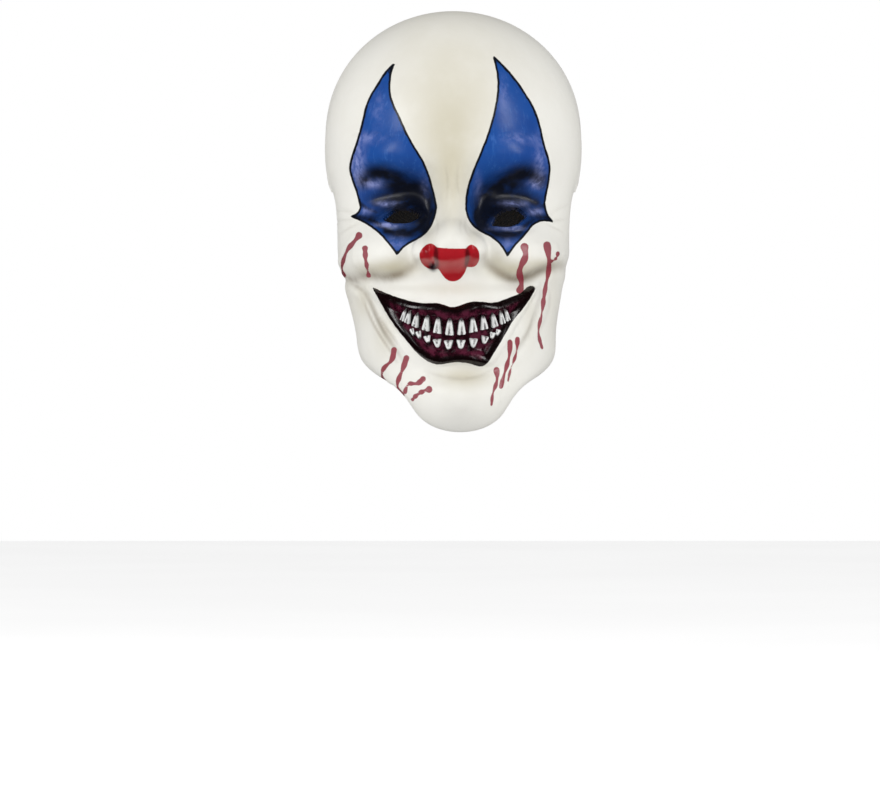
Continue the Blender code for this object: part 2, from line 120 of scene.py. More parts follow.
class MaskColours(bpy.types.PropertyGroup):
    """Colours of paint, latex and elastic."""

    skin: colour("Skin", "White ground coat", (0.770, 0.760, 0.715))
    worn_skin: colour("Worn skin", "Ground coat where it is rubbed", (0.60, 0.58, 0.50))
    # Painted shade: darkens the skin along its folds, where shade falls.
    crease_shade: colour("Grime", "Dirt in the folds", (0.19, 0.15, 0.10))
    # Partly painted shade: darkens the hollows and the middle of the forehead; partly the mask's sallow
    # tone.
    shade: colour("Shade", "Sallow shading in the hollows", (0.480, 0.430, 0.280))
    blue: colour("Blue", "Patches round the eyes", (0.006, 0.066, 0.300))
    deep_blue: colour("Deep blue", "Blue where the paint is thick", (0.008, 0.035, 0.20))
    pale_blue: colour("Pale blue", "Worn blue where the brush skipped", (0.060, 0.180, 0.520))
    # Painted highlight: pale lavender laid where light catches the blue.
    gleam: colour("Gleam", "Rubbed highlights on the blue", (0.290, 0.330, 0.640))
    black: colour("Black", "Lines and airbrush", (0.004, 0.005, 0.010))
    lips: colour("Lips", "Outer lips", (0.005, 0.0015, 0.002))
    gums: colour("Gums", "Inner lips and gums", (0.085, 0.008, 0.026))
    nose: colour("Nose", "Red of the nose", (0.400, 0.003, 0.010))
    deep_red: colour("Deep red", "Nose where the paint is thick", (0.22, 0.001, 0.005))
    # Painted shade: a darker red laid in the nose's creases.
    nose_crease_shade: colour("Crease red", "Nose in its creases", (0.120, 0.0, 0.003))
    drip: colour("Drip", "Painted runs", (0.260, 0.042, 0.062))
    deep_drip: colour("Deep drip", "Painted runs where the paint is thick", (0.24, 0.012, 0.03))
    tooth: colour("Tooth", "Silver white of the teeth", (0.780, 0.790, 0.780))
    tooth_dark: colour("Tooth dark", "Middle and root of the teeth", (0.03, 0.022, 0.025))
    tooth_wear: colour("Tooth wear", "Rubbed spots on the teeth", (0.35, 0.34, 0.33))
    latex: colour("Latex", "Bare latex inside", (0.720, 0.620, 0.450))
    aged_latex: colour("Aged latex", "Browned latex inside", (0.52, 0.38, 0.22))
    patch_dirt: colour("Patch dirt", "Handled latex of the patches", (0.50, 0.36, 0.20))
    elastic: colour("Elastic", "Woven band", (0.005, 0.005, 0.006))
    thread: colour("Thread", "Raised cross threads of the band", (0.022, 0.022, 0.025))


class StageSettings(bpy.types.PropertyGroup):
    """Camera and studio."""

    photo_scale: length("Photo scale", "Real width of one pixel of the photograph", 0.617 * MM)
    photo_middle: FloatProperty(
        name="Photo middle", description="Pixel column of the mask's middle", default=453.5)
    photo_top: FloatProperty(
        name="Photo top", description="Pixel row of the crown's height at the face plane", default=5.6)
    photo_width: IntProperty(name="Photo width", description="In pixels", default=880)
    photo_height: IntProperty(name="Photo height", description="In pixels", default=800)
    distance: length("Distance", "From the camera to the face", 4.0)
    face_plane: FloatProperty(
        name="Face plane", description="Depth at which the scale holds", default=-0.060,
        unit="LENGTH")
    floor_drop: length("Floor drop", "From the crown to the studio floor", 0.46)
    floor_reach: length("Floor reach", "From the middle to each edge of the floor", 6.0)
    ambient: FloatProperty(
        name="Ambient", description="How strongly the surroundings light the mask", default=0.64)


# Sections of the skin, as the solids have them. Depths are shares of the face depth in
# front and of the crown's reach behind, drops of the height, widths of half the width.
# Middle depth, middle drop, rim depth, rim drop, width, tuck, fullness, steps
SECTIONS = (
    (-0.60, 0.977, -0.63, 0.950, 0.27, 0.00, 2.00, 8),
    (-0.82, 1.000, -0.67, 0.931, 0.35, 0.00, 2.10, 9),
    (-0.96, 0.962, -0.68, 0.912, 0.41, 0.00, 2.20, 10),
    (-1.00, 0.908, -0.61, 0.891, 0.50, 0.00, 2.30, 11),
    (-0.95, 0.855, -0.41, 0.866, 0.635, 0.00, 2.30, 12),
    (-0.965, 0.809, -0.19, 0.832, 0.74, 0.02, 2.20, 17),
    (-0.98, 0.752, -0.10, 0.771, 0.777, 0.04, 2.10, 17),
    (-0.99, 0.698, -0.06, 0.702, 0.814, 0.05, 2.05, 16),
    (-0.95, 0.641, -0.044, 0.634, 0.845, 0.05, 2.05, 20),
    (-0.905, 0.565, -0.044, 0.565, 0.876, 0.04, 2.10, 22),
    (-0.85, 0.466, -0.040, 0.497, 0.907, 0.04, 2.20, 20),
    (-0.885, 0.382, -0.018, 0.446, 0.938, 0.05, 2.25, 16),
    (-0.885, 0.290, 0.07, 0.417, 0.97, 0.07, 2.20, 14),
    (-0.80, 0.179, 0.20, 0.400, 0.988, 0.12, 2.15, 11),
    (-0.60, 0.076, 0.36, 0.391, 1.00, 0.18, 2.10, 9),
    (-0.31, 0.017, 0.52, 0.384, 1.00, 0.22, 2.10, 7),
    (0.00, 0.000, 0.66, 0.376, 1.00, 0.25, 2.10, 7),
    (0.55, 0.015, 0.78, 0.366, 0.994, 0.26, 2.10, 7),
    (1.00, 0.065, 0.88, 0.354, 0.988, 0.26, 2.10, 0),
)
FAR_OUTSIDE = -50.0
COLUMNS = 186
CENTRE_SPACING = 0.50

# Soft forms, mirrored where their place isn't 0, in the shares that the solids use.
# Place across, drop, spread across, spread down, rise
FORMS = (
    (0.35, 0.237, 0.30, 0.084, 0.20),
    (0.42, 0.345, 0.27, 0.044, 0.65),
    (0.00, 0.405, 0.12, 0.040, 0.20),
    (0.41, 0.445, 0.25, 0.048, -0.95),
    (0.22, 0.475, 0.10, 0.050, -0.45),
    (0.41, 0.487, 0.17, 0.032, 0.60),
    (0.00, 0.475, 0.12, 0.075, 0.95),
    (0.00, 0.550, 0.15, 0.050, 0.90),
    (0.53, 0.578, 0.26, 0.062, 1.15),
    (0.46, 0.652, 0.22, 0.016, -0.35),
    (0.00, 0.735, 0.56, 0.110, 0.60),
    (0.66, 0.725, 0.14, 0.080, -0.25),
    (0.85, 0.400, 0.12, 0.070, -0.20),
    (0.00, 0.920, 0.22, 0.050, 0.65),
)

# Swellings of the nose: place across, spread across, spread down, rise
NOSE_FORMS = (
    (0.00, 0.33, 0.50, 1.00),
    (0.36, 0.16, 0.36, 0.70),
)
NOSE_SHIFT = -2.0 * MM
NOSTRIL = (434.0, 267.5)
NOSTRIL_REACH = 2.4 * MM
NOSTRIL_PAINT = (433.0, 267.0)
NOSTRIL_PAINT_REACH = 2.7 * MM

# Ridges of the mouth, as shares of the lip's width: how deep inside the outline, spread
OUTER_LIP = (0.42, 0.40)
INNER_LIP = (0.88, 0.11)
MOUTH_SLOPE = (0.65, 1.35)
LIP_GROOVE = (1.0 * MM, 1.2 * MM)

# Lid margin and lid crease: how far outside an eye's outline, spread
LID_MARGIN = (1.1 * MM, 0.9 * MM)
LID_CREASE = (3.6 * MM, 1.1 * MM)

# Creases and ridges of the skin in pixels: width and depth in mm, points along it.
# A negative depth is a ridge.
CREASES = (
    (4.2, 1.8, ((360, 183), (366, 177), (380, 172), (393, 176), (405, 187), (417, 197), (428, 206))),
    (4.2, 1.8, ((542, 184), (536, 175), (525, 171), (511, 176), (499, 186), (490, 197), (483, 207))),
    (2.4, 0.9, ((362, 203), (375, 198), (388, 195), (402, 196), (415, 202), (424, 209))),
    (2.4, 0.9, ((542, 206), (533, 199), (520, 196), (506, 198), (495, 205), (488, 213))),
    (1.5, 0.8, ((379, 227), (390, 232), (403, 233), (416, 230), (427, 222))),
    (1.5, 0.8, ((484, 222), (493, 231), (507, 235), (521, 232), (532, 225))),
    (1.2, 0.45, ((353, 135), (366, 133), (382, 133), (396, 138))),
    (1.2, 0.35, ((505, 139), (520, 135), (536, 134), (548, 138))),
    (4.2, 2.8, ((416, 262), (408, 270), (397, 275), (383, 277), (368, 276), (354, 279), (343, 277))),
    (4.2, 2.6, ((484, 256), (490, 266), (501, 274), (515, 279), (529, 276), (545, 269), (560, 266))),
    (2.0, 1.9, ((343, 279), (353, 284), (362, 290), (370, 301), (380, 324), (395, 348), (404, 362))),
    (1.3, 1.5, ((360, 292), (366, 307), (375, 327), (389, 349), (397, 362))),
    (1.2, 1.3, ((374, 306), (384, 325), (397, 344))),
    (1.8, 1.2, ((540, 283), (541, 296), (535, 316), (524, 338), (512, 355))),
    (1.1, 0.4, ((550, 290), (549, 308), (541, 330))),
    (0.9, 0.45, ((336, 211), (345, 211), (355, 213))),
    (0.9, 0.45, ((335, 222), (344, 220), (354, 219))),
    (0.9, 0.40, ((340, 234), (349, 228), (358, 224))),
    (0.9, 0.45, ((567, 205), (559, 209), (551, 214))),
    (0.9, 0.45, ((566, 219), (558, 220), (549, 221))),
    (0.9, 0.40, ((563, 232), (555, 228), (546, 224))),
    (1.1, 0.50, ((446, 168), (448, 184), (446, 200))),
    (1.1, 0.50, ((458, 166), (457, 182), (460, 198))),
    (1.0, 0.45, ((468, 213), (465, 223), (467, 233), (474, 240))),
    (1.0, 0.40, ((463, 217), (460, 226), (462, 236))),
    (1.0, 0.40, ((435, 216), (438, 226), (436, 236))),
    (1.5, 0.6, ((425, 371), (444, 377), (463, 379), (482, 375), (497, 366))),
    (1.6, 2.1, ((436.5, 246), (436, 256), (438, 268))),
    (1.6, 2.1, ((467, 248), (467.5, 257), (465.5, 267))),
    (2.2, -0.8, ((450, 284), (451, 292), (452, 300))),
)

# Outline of the grin: across as a share of half its width, upper and lower edge as
# shares of its height below its corners
GRIN_CENTRE = (454.0, 287.0)
GRIN_SIZE = (164.0, 76.8)
GRIN = (
    (-1.00, 0.00, 0.00), (-0.89, 0.05, 0.22), (-0.78, 0.10, 0.42), (-0.61, 0.16, 0.66),
    (-0.45, 0.20, 0.86), (-0.30, 0.21, 0.98), (-0.20, 0.21, 1.01), (0.00, 0.26, 0.98),
    (0.12, 0.22, 0.985), (0.23, 0.19, 1.01), (0.40, 0.20, 1.00), (0.50, 0.20, 0.84),
    (0.60, 0.17, 0.66), (0.69, 0.13, 0.49), (0.82, 0.07, 0.31), (0.94, -0.02, 0.13),
    (1.00, 0.005, 0.01),
)

# Blue patches in pixels, as runs between their corners
LEFT_PATCH = (
    ((394, 64), (385, 73), (378, 84), (369.5, 98), (363.5, 118), (354, 151), (350, 168), (354, 184),
     (359, 200), (360.5, 208)),
    ((360.5, 208), (358.5, 212), (351.5, 216.5)),
    ((351.5, 216.5), (363, 221.5), (377, 231), (389, 243.5), (397, 254.5)),
    ((397, 254.5), (401, 249.5), (411, 242), (423, 235), (430, 227), (434.5, 216), (436.5, 207)),
    ((436.5, 207), (432.5, 189), (423.5, 163), (411, 142), (398.5, 116), (391, 98), (389.5, 84),
     (391, 73), (394, 64)),
)
RIGHT_PATCH = (
    ((493.5, 56.5), (508, 71), (524.5, 93), (536, 114), (545, 148), (549.5, 165), (548, 184),
     (544.5, 203)),
    ((544.5, 203), (547, 214), (552.5, 221.5)),
    ((552.5, 221.5), (543, 220.5), (534, 224), (524.5, 235), (515, 245), (507.5, 256)),
    ((507.5, 256), (501, 245), (490, 236), (479, 230), (470, 221), (466, 209)),
    ((466, 209), (467, 193), (471, 178), (485, 143), (492, 122), (497.5, 96), (498, 78),
     (493.5, 56.5)),
)
NOSE_OUTLINE = (
    ((437, 247.5), (451, 248.5), (466, 248.5)),
    ((466, 248.5), (471, 244.5), (477, 248), (479.5, 257), (475.5, 266), (467, 267)),
    ((467, 267), (464, 274), (458.5, 280), (452.5, 281.5), (446, 279), (440.5, 272), (438, 268.5)),
    ((438, 268.5), (430, 269), (422.5, 264), (419.5, 255), (424, 246.5), (431, 243.5), (437, 247.5)),
)
LEFT_EYE = (
    ((382, 219.5), (389, 212.5), (399, 208.5), (411, 209), (422, 215)),
    ((422, 215), (412, 222), (400, 223.5), (389, 222.5), (382, 219.5)),
)
RIGHT_EYE = (
    ((490.5, 225.5), (498, 213.5), (510, 207.5), (521, 209.5), (527.5, 216.5)),
    ((527.5, 216.5), (518, 224.5), (505, 227), (490.5, 225.5)),
)
BLUE_PATCHES = (LEFT_PATCH, RIGHT_PATCH)
EYES = (LEFT_EYE, RIGHT_EYE)

# Painted runs: half widths at both ends in pixels, then the points along each
DRIPS = (
    (2.4, 1.2, ((359, 235.5), (353, 243), (347.5, 250), (343.5, 260), (342, 268), (344, 275.5))),
    (2.5, 1.3, ((365, 248.5), (365.5, 258), (367, 267), (368.5, 275.5))),
    (3.1, 2.8, ((524.5, 247), (525.5, 256), (521.5, 265), (519.5, 274), (521.5, 283), (520, 290))),
    (2.8, 1.5, ((547, 245), (548.5, 255), (549, 267), (546.5, 282), (543.5, 300))),
    (1.4, 1.3, ((543.5, 300), (541.5, 315), (538.5, 331), (542, 348))),
    (1.3, 1.1, ((558, 253), (556, 258.5), (550, 261.5))),
    (2.6, 1.2, ((394, 350), (391, 361), (384, 368), (382, 376), (385.5, 383.5))),
    (2.6, 1.3, ((406.5, 358), (403.5, 367), (399, 378), (397.5, 387), (402.5, 395))),
    (2.6, 1.2, ((423, 379), (417, 383.5), (409, 384), (405, 392))),
    (2.2, 1.8, ((429, 389.5), (419, 393.5), (412.5, 399.5))),
    (2.0, 1.6, ((510, 342), (509, 357), (504, 375), (501, 387))),
    (1.4, 0.8, ((517.5, 339), (516, 354), (511, 368), (508, 381))),
    (2.1, 1.0, ((496.5, 370), (497, 380), (493, 393), (491.5, 405))),
)

# Airbrushed black: half width in pixels, strength, points along it
AIRBRUSH = (
    (9.0, 0.90, ((364, 180), (372, 175), (382, 174), (394, 178), (406, 187), (418, 198), (428, 208))),
    (5.5, 0.85, ((376, 202), (388, 198), (400, 196), (412, 199), (422, 206))),
    (7.0, 1.00, ((420, 203), (428, 213), (424, 226))),
    (5.0, 0.92, ((386, 231), (400, 234), (414, 231), (424, 225))),
    (3.4, 0.85, ((354, 216.5), (364, 218), (375, 222), (386, 229))),
    (2.2, 0.70, ((361, 204), (368, 209), (376, 212))),
    (9.0, 0.90, ((540, 180), (533, 175.5), (522, 174.5), (509, 179), (498, 188), (488, 199), (480, 209))),
    (5.5, 0.85, ((536, 203), (525, 198), (512, 196), (499, 199), (490, 207))),
    (7.0, 0.95, ((486, 204), (477, 214), (481, 226))),
    (5.0, 0.88, ((485, 228), (495, 233), (507, 236), (520, 232))),
    (3.4, 0.85, ((549, 217.5), (540, 218), (530, 222), (522, 229))),
    (2.2, 0.70, ((543, 206), (536, 210), (530, 213))),
)

# Airbrushed black laid as soft patches: middle and spread in pixels, strength
SOOT = (
    (407, 210, 30, 15, 1.00), (424, 211, 12, 19, 1.00), (402, 197, 25, 6, 0.90),
    (388, 175, 19, 6.5, 0.90), (404, 233, 20, 6, 1.00), (413, 191, 17, 12, 1.00),
    (369, 219, 10, 5, 0.75), (396, 186, 16, 7, 0.80), (427, 231, 6, 9, 0.90),
    (506, 210, 30, 15, 1.00), (485, 212, 11, 18, 1.00), (513, 198, 25, 6, 0.85),
    (521, 175.5, 19, 6.5, 0.90), (506, 234.5, 20, 6, 0.95), (496, 192, 17, 12, 1.00),
    (538, 217, 10, 5, 0.70), (513, 185, 15, 7, 0.75), (480, 230, 6, 9, 0.85),
)

# Painted highlights on the blue, where light catches the patches: middle and spread in pixels, strength
GLEAMS = (
    (356, 160, 7, 24, 0.80), (366, 138, 15, 5, 0.45), (378, 108, 7, 16, 0.25), (373, 184, 8, 4, 0.75),
    (386, 203.5, 9, 2.2, 0.95), (389, 225, 12, 2.0, 0.95), (365, 211, 6, 3, 0.60),
    (397, 243, 9, 6, 0.40), (425, 185, 4, 12, 0.22), (541, 160, 6, 20, 0.45),
    (521, 139, 17, 5, 0.40), (537, 184, 7, 4, 0.80), (514, 203.5, 12, 2.4, 0.75),
    (536, 212, 7, 3, 0.65), (507, 228.5, 14, 1.8, 0.85), (508, 245, 8, 6, 0.35),
    (478, 186, 4, 12, 0.22), (503, 95, 5, 16, 0.25),
)

# Sallow shading, partly the mask's own tone and partly painted shade where less light falls, as in the
# hollows and down the middle of the forehead: middle and spread in pixels, strength
SHADES = (
    (452, 95, 60, 85, 0.42), (452, 186, 18, 36, 0.60), (450, 140, 26, 40, 0.45),
    (392, 268, 26, 8, 0.70), (368, 270, 14, 6, 0.35), (512, 270, 24, 9, 0.72),
    (543, 264, 16, 6, 0.45), (463, 377, 26, 11, 0.55), (400, 262, 12, 9, 0.30),
    (497, 260, 10, 9, 0.40), (363, 300, 8, 20, 0.35), (430, 237, 7, 12, 0.20),
    (474, 236, 7, 12, 0.25), (452, 289, 34, 6, 0.25), (385, 335, 10, 20, 0.28),
    (530, 318, 8, 26, 0.20), (345, 300, 8, 30, 0.18), (552, 300, 8, 40, 0.15),
)

# Rows of teeth in pixels, each on two parabolas through the middle of the mouth:
# count, half width, bite edge's row and rise at the ends, root's row and rise
TOOTH_ROWS = (
    (12, 53.0, 334.0, 15.5, 318.0, 10.0),
    (10, 45.5, 340.5, 11.0, 349.5, 14.0),
)
TEETH_MIDDLE = 455.3
TOOTH_FAN = math.radians(80)
SEAT_GAP = 0.6 * MM
BAND_GAP = 0.3 * MM

# Lamps of the studio: name, place, size, power, whether gloss mirrors it
LAMPS = (
    ("strip_left", (-2.2, -1.1, 0.85), (0.5, 1.6), 27, True),
    ("strip_right", (2.2, -1.2, 0.80), (0.5, 1.6), 27, True),
    ("nose_left", (-1.9, -2.2, 0.30), (0.34, 1.8), 7, True),
    ("nose_right", (1.5, -2.5, 0.25), (0.26, 1.6), 5, True),
    ("top_fill", (0.0, -1.9, 1.9), (1.6, 1.0), 2, False),
)
LAMP_AIM = Vector((0, -0.05, -0.14))
FLOOR_LIFT = 0.36
SENSOR_WIDTH = 36.0
FARTHEST_SEEN = 50.0


def sizes():
    return bpy.context.scene.clown_mask_sizes


def band_sizes():
    return bpy.context.scene.clown_mask_band


def colours():
    return bpy.context.scene.clown_mask_colours


def stage_settings():
    return bpy.context.scene.clown_mask_stage


# Curves, distances and other small sums


def smooth_step(low, high, value):
    """Zero below the low value, one above the high one, smooth between."""
    share = np.clip((value - low) / (high - low), 0, 1)
    return share * share * (3 - 2 * share)


def smooth_curve(knots, values, places):
    """Natural cubic spline through the rows of a table, read at the places given."""
    gaps = np.diff(knots)
    slopes = np.diff(values, axis=0) / gaps[:, None]
    count = len(knots)
    matrix = np.eye(count)
    right = np.zeros(values.shape)
    for i in range(1, count - 1):
        matrix[i, i - 1:i + 2] = gaps[i - 1], 2 * (gaps[i - 1] + gaps[i]), gaps[i]
        right[i] = 6 * (slopes[i] - slopes[i - 1])
    bends = np.linalg.solve(matrix, right)
    span = np.clip(np.searchsorted(knots, places) - 1, 0, count - 2)
    gap = gaps[span][:, None]
    past = (places - knots[span])[:, None]
    left = gap - past
    curved = (bends[span] * left**3 + bends[span + 1] * past**3) / (6 * gap)
    start = (values[span] / gap - bends[span] * gap / 6) * left
    end = (values[span + 1] / gap - bends[span + 1] * gap / 6) * past
    return curved + start + end


def smooth_run(points, per_gap=5):
    """A smooth line through a few points, as more points."""
    points = np.array(points, dtype=float)
    knots = np.concatenate(([0], np.cumsum(np.hypot(*np.diff(points, axis=0).T))))
    return smooth_curve(knots, points, np.linspace(0, knots[-1], per_gap * (len(points) - 1) + 1))


def at_photo(points):
    """Places in the picture plane, in metres, of pixels of the photograph."""
    stage, points = stage_settings(), np.asarray(points, dtype=float)
    x = (points[..., 0] - stage.photo_middle) * stage.photo_scale
    z = sizes().wall - (points[..., 1] - stage.photo_top) * stage.photo_scale
    return np.stack((x, z), axis=-1)


def seen_from_front(points):
    """Where points in space fall in the picture plane, for an eye at the camera's place."""
    stage = stage_settings()
    eye_x, eye_z = camera_axis()
    share = stage.distance / (stage.distance + points[..., 1] - stage.face_plane)
    x = eye_x + (points[..., 0] - eye_x) * share
    z = eye_z + (points[..., 2] - eye_z) * share
    return np.stack((x, z), axis=-1)


def camera_axis():
    """Sideways place and height of the camera: the middle of the photograph."""
    stage = stage_settings()
    return at_photo((stage.photo_width / 2, stage.photo_height / 2))


def outline_of(runs):
    """A closed outline in metres from runs of pixels that meet at corners."""
    joined = np.concatenate([smooth_run(run)[:-1] for run in runs])
    return at_photo(joined)


def grin_outline():
    """Closed outline of the grin in metres."""
    table = np.array(GRIN)
    places = np.linspace(-1, 1, 65)
    edges = smooth_curve(table[:, 0], table[:, 1:], places)
    x = GRIN_CENTRE[0] + places * GRIN_SIZE[0] / 2
    upper = np.column_stack((x, GRIN_CENTRE[1] + edges[:, 0] * GRIN_SIZE[1]))
    lower = np.column_stack((x, GRIN_CENTRE[1] + edges[:, 1] * GRIN_SIZE[1]))
    return at_photo(np.concatenate((upper, lower[-2:0:-1])))


def nearest_on(line, points, closed=False):
    """Distance to a line of points, the nearest place on it and the share along it."""
    starts = line if closed else line[:-1]
    ends = np.roll(line, -1, axis=0) if closed else line[1:]
    best = np.full(points.shape[:-1], np.inf)
    place = np.zeros(points.shape)
    along = np.zeros(points.shape[:-1])
    for index, (start, end) in enumerate(zip(starts, ends)):
        run = end - start
        share = np.clip(((points - start) @ run) / max(run @ run, 1e-18), 0, 1)
        foot = start + share[..., None] * run
        distance = np.linalg.norm(points - foot, axis=-1)
        closer = distance < best
        best = np.where(closer, distance, best)
        place = np.where(closer[..., None], foot, place)
        along = np.where(closer, (index + share) / len(starts), along)
    return best, place, along


def is_inside(outline, points):
    """Whether points lie inside a closed outline."""
    inside = np.zeros(points.shape[:-1], dtype=bool)
    x, z = points[..., 0], points[..., 1]
    for (x0, z0), (x1, z1) in zip(outline, np.roll(outline, -1, axis=0)):
        if z0 != z1:
            inside ^= ((z0 > z) != (z1 > z)) & (x < x0 + (x1 - x0) * (z - z0) / (z1 - z0))
    return inside


def depth_inside(outline, points):
    """Distance to a closed outline, positive inside it."""
    distance = nearest_on(outline, points, closed=True)[0]
    return np.where(is_inside(outline, points), distance, -distance)


def deepest(shapes, points):
    """How deep points are in whichever of a few outlines holds them best."""
    return np.maximum.reduce([depth_inside(outline_of(runs), points) for runs in shapes])


def ridge(depth, middle, spread):
    """A soft ridge of height one along a line of equal depth."""
    return np.exp(-((depth - middle) / spread) ** 2)


# The skin


def section_rows():
    """Rows of the skin from chin to rear, smoothly between the sections."""
    size = sizes()
    table = []
    for mid_depth, mid_drop, rim_depth, rim_drop, width, tuck, full, _ in SECTIONS:
        reach = [share * (size.face_depth if share < 0 else size.crown_reach)
                 for share in (mid_depth, rim_depth)]
        table.append((
            reach[0], size.wall - mid_drop * size.height,
            reach[1], size.wall - rim_drop * size.height,
            width * size.width / 2, tuck, full,
        ))
    table = np.array(table)
    knots = np.concatenate(([0], np.cumsum(np.hypot(*np.diff(table[:, :2], axis=0).T))))
    places = [knots[-1]]
    for index, section in enumerate(SECTIONS[:-1]):
        places.extend(np.linspace(knots[index], knots[index + 1], section[-1], endpoint=False))
    return smooth_curve(knots, table, np.sort(places))


def base_grid():
    """Points of the uncarved skin, as rows by columns by three."""
    mid_y, mid_z, rim_y, rim_z, half, tuck, full = section_rows().T[:, :, None]
    across = np.linspace(-1, 1, COLUMNS)[None, :]
    across = CENTRE_SPACING * across + (1 - CENTRE_SPACING) * across**3
    tuck = np.clip(tuck, 0, None)
    angle = across * (math.pi / 2 + np.arcsin(tuck))
    pull = tuck ** (2 / full)
    centre_y = (rim_y + pull * mid_y) / (1 + pull)
    centre_z = (rim_z + pull * mid_z) / (1 + pull)
    cosine = np.cos(angle)
    reach = np.sign(cosine) * np.abs(cosine) ** (2 / full)
    x = half * np.sin(angle)
    y = centre_y + (mid_y - centre_y) * reach
    z = centre_z + (mid_z - centre_z) * reach
    return np.stack(np.broadcast_arrays(x, y, z), axis=-1)


def grid_normals(grid):
    """Outward normals of a grid of points."""
    normals = np.cross(np.gradient(grid, axis=1), np.gradient(grid, axis=0))
    return normals / np.linalg.norm(normals, axis=-1, keepdims=True)


def smoothed(grid, rounds):
    """The grid with each point drawn towards its neighbours."""
    grid = grid.copy()
    for _ in range(rounds):
        padded = np.pad(grid, ((1, 1), (1, 1), (0, 0)), mode="edge")
        around = padded[:-2, 1:-1] + padded[2:, 1:-1] + padded[1:-1, :-2] + padded[1:-1, 2:]
        grid = grid / 2 + around / 8
    return grid


def sway(z):
    """Sideways drift of the lower face, none above the nose and all of it at the chin."""
    size = sizes()
    return size.chin_sway * smooth_step(size.nose_drop, size.height, -z)


def swellings(x, z, forms, place_x, place_z, unit_x, unit_z, power):
    """Sum of round swellings, mirrored where their place isn't 0."""
    total = np.zeros_like(x)
    for place, drop, spread_x, spread_z, share in forms:
        for side in ((-1, 1) if place else (1,)):
            dx = (x - place_x - side * place * unit_x) / (spread_x * unit_x)
            dz = (z - place_z + drop * unit_z) / (spread_z * unit_z)
            total += share * np.exp(-np.hypot(dx, dz) ** power)
    return total


def mouth_relief(depth):
    """Lips along the outline of the grin, a thin inner lip, and the hollow between."""
    size = sizes()
    share = depth / size.lip_width
    lips = size.lip_rise * ridge(share, *OUTER_LIP) + size.inner_lip_rise * ridge(share, *INNER_LIP)
    hollow = size.mouth_recess * smooth_step(*MOUTH_SLOPE, share)
    return lips - hollow - size.lip_groove * ridge(-depth, *LIP_GROOVE)


def creases_near(places):
    """Width in metres and faded depth in mm of every crease, and how far places are from it."""
    for width, depth, points in CREASES:
        distance, _, along = nearest_on(at_photo(smooth_run(points, 4)), places)
        fade = np.sin(math.pi * np.clip(along, 0.04, 0.96)) ** 0.5
        yield width * MM, depth * fade, distance


def crease_relief(places):
    """Creases with a soft shoulder on each side."""
    total = np.zeros(places.shape[:-1])
    for width, depth, distance in creases_near(places):
        total -= depth * MM * (ridge(distance, 0, width) - 0.22 * ridge(distance, 2 * width, width))
    return total


def drip_depth(places):
    """How far inside a painted run each place is, in metres."""
    scale = stage_settings().photo_scale
    best = np.full(places.shape[:-1], -1.0)
    for start, end, points in DRIPS:
        line = at_photo(smooth_run(points, 4))
        distance, _, along = nearest_on(line, places)
        half = start + (end - start) * along + 0.55 * np.sin(along * 17 + start * 9)
        half += 0.9 * np.exp(-(along / 0.09) ** 2) + 0.6 * np.exp(-((1 - along) / 0.07) ** 2)
        best = np.maximum(best, half * scale - distance)
    return best


def eye_relief(depth):
    """A rolled lid margin round an eye hole, from the depth inside its outline."""
    size = sizes()
    return size.lid_rise * ridge(-depth, *LID_MARGIN) - size.lid_crease * ridge(-depth, *LID_CREASE)


def nose_swell(x, z):
    """How far the swellings of the nose rise together, as a share of its rise."""
    size = sizes()
    unit = (size.nose_width, size.nose_height)
    forms = [(place, 0, wide, high, share) for place, wide, high, share in NOSE_FORMS]
    return np.sqrt(sum(
        swellings(x, z, [form], NOSE_SHIFT, -size.nose_drop, *unit, 3) ** 2 for form in forms))


def carve():
    """The outer face with its forms, nose, lips, creases, lids and painted runs."""
    size = sizes()
    grid = base_grid()
    normals = grid_normals(grid)
    x, z = grid[..., 0], grid[..., 2]
    places = seen_from_front(grid)
    swell = nose_swell(x, z)
    rise = size.relief * swellings(x, z, FORMS, 0, 0, size.width / 2, size.height, 2)
    rise += size.nose_rise * swell
    rise += mouth_relief(depth_inside(grin_outline(), places))
    rise += crease_relief(places)
    for runs in EYES:
        rise += eye_relief(depth_inside(outline_of(runs), places))
    rise += size.drip_rise * smooth_step(-0.2 * MM, 0.9 * MM, drip_depth(places))
    nostril = np.linalg.norm(places - at_photo(NOSTRIL), axis=-1)
    rise -= size.nostril_depth * np.exp(-(nostril / NOSTRIL_REACH) ** 3)
    in_front = grid[..., 1] < 0
    rise = np.where(in_front, rise, 0)
    carved = grid + normals * rise[..., None]
    carved[..., 2] -= np.where(in_front, size.nose_droop * np.minimum(swell, 1) ** 2, 0)
    carved[..., 0] += sway(carved[..., 2])
    return carved


def square_corners(points):
    """Values of a grid's points at the four corners of each of its squares."""
    return np.stack((points[:-1, :-1], points[1:, :-1], points[:-1, 1:], points[1:, 1:]))


def open_eyes(outer):
    """Snaps the grid to the eye outlines and says which squares stay."""
    gone = np.zeros([count - 1 for count in outer.shape[:2]], dtype=bool)
    for runs in EYES:
        outline, places = outline_of(runs), seen_from_front(outer)
        inside = is_inside(outline, places) & (outer[..., 1] < 0)
        beside_outside = np.zeros_like(inside)
        for shift in ((1, 0), (-1, 0), (0, 1), (0, -1), (1, 1), (1, -1), (-1, 1), (-1, -1)):
            beside_outside |= ~np.roll(inside, shift, (0, 1))
        border = inside & beside_outside
        step = nearest_on(outline, places, closed=True)[1] - places
        outer[..., 0] += np.where(border, step[..., 0], 0)
        outer[..., 2] += np.where(border, step[..., 1], 0)
        gone |= square_corners(inside & ~beside_outside).any(axis=0)
        gone |= square_corners(border).all(axis=0)
    return ~gone


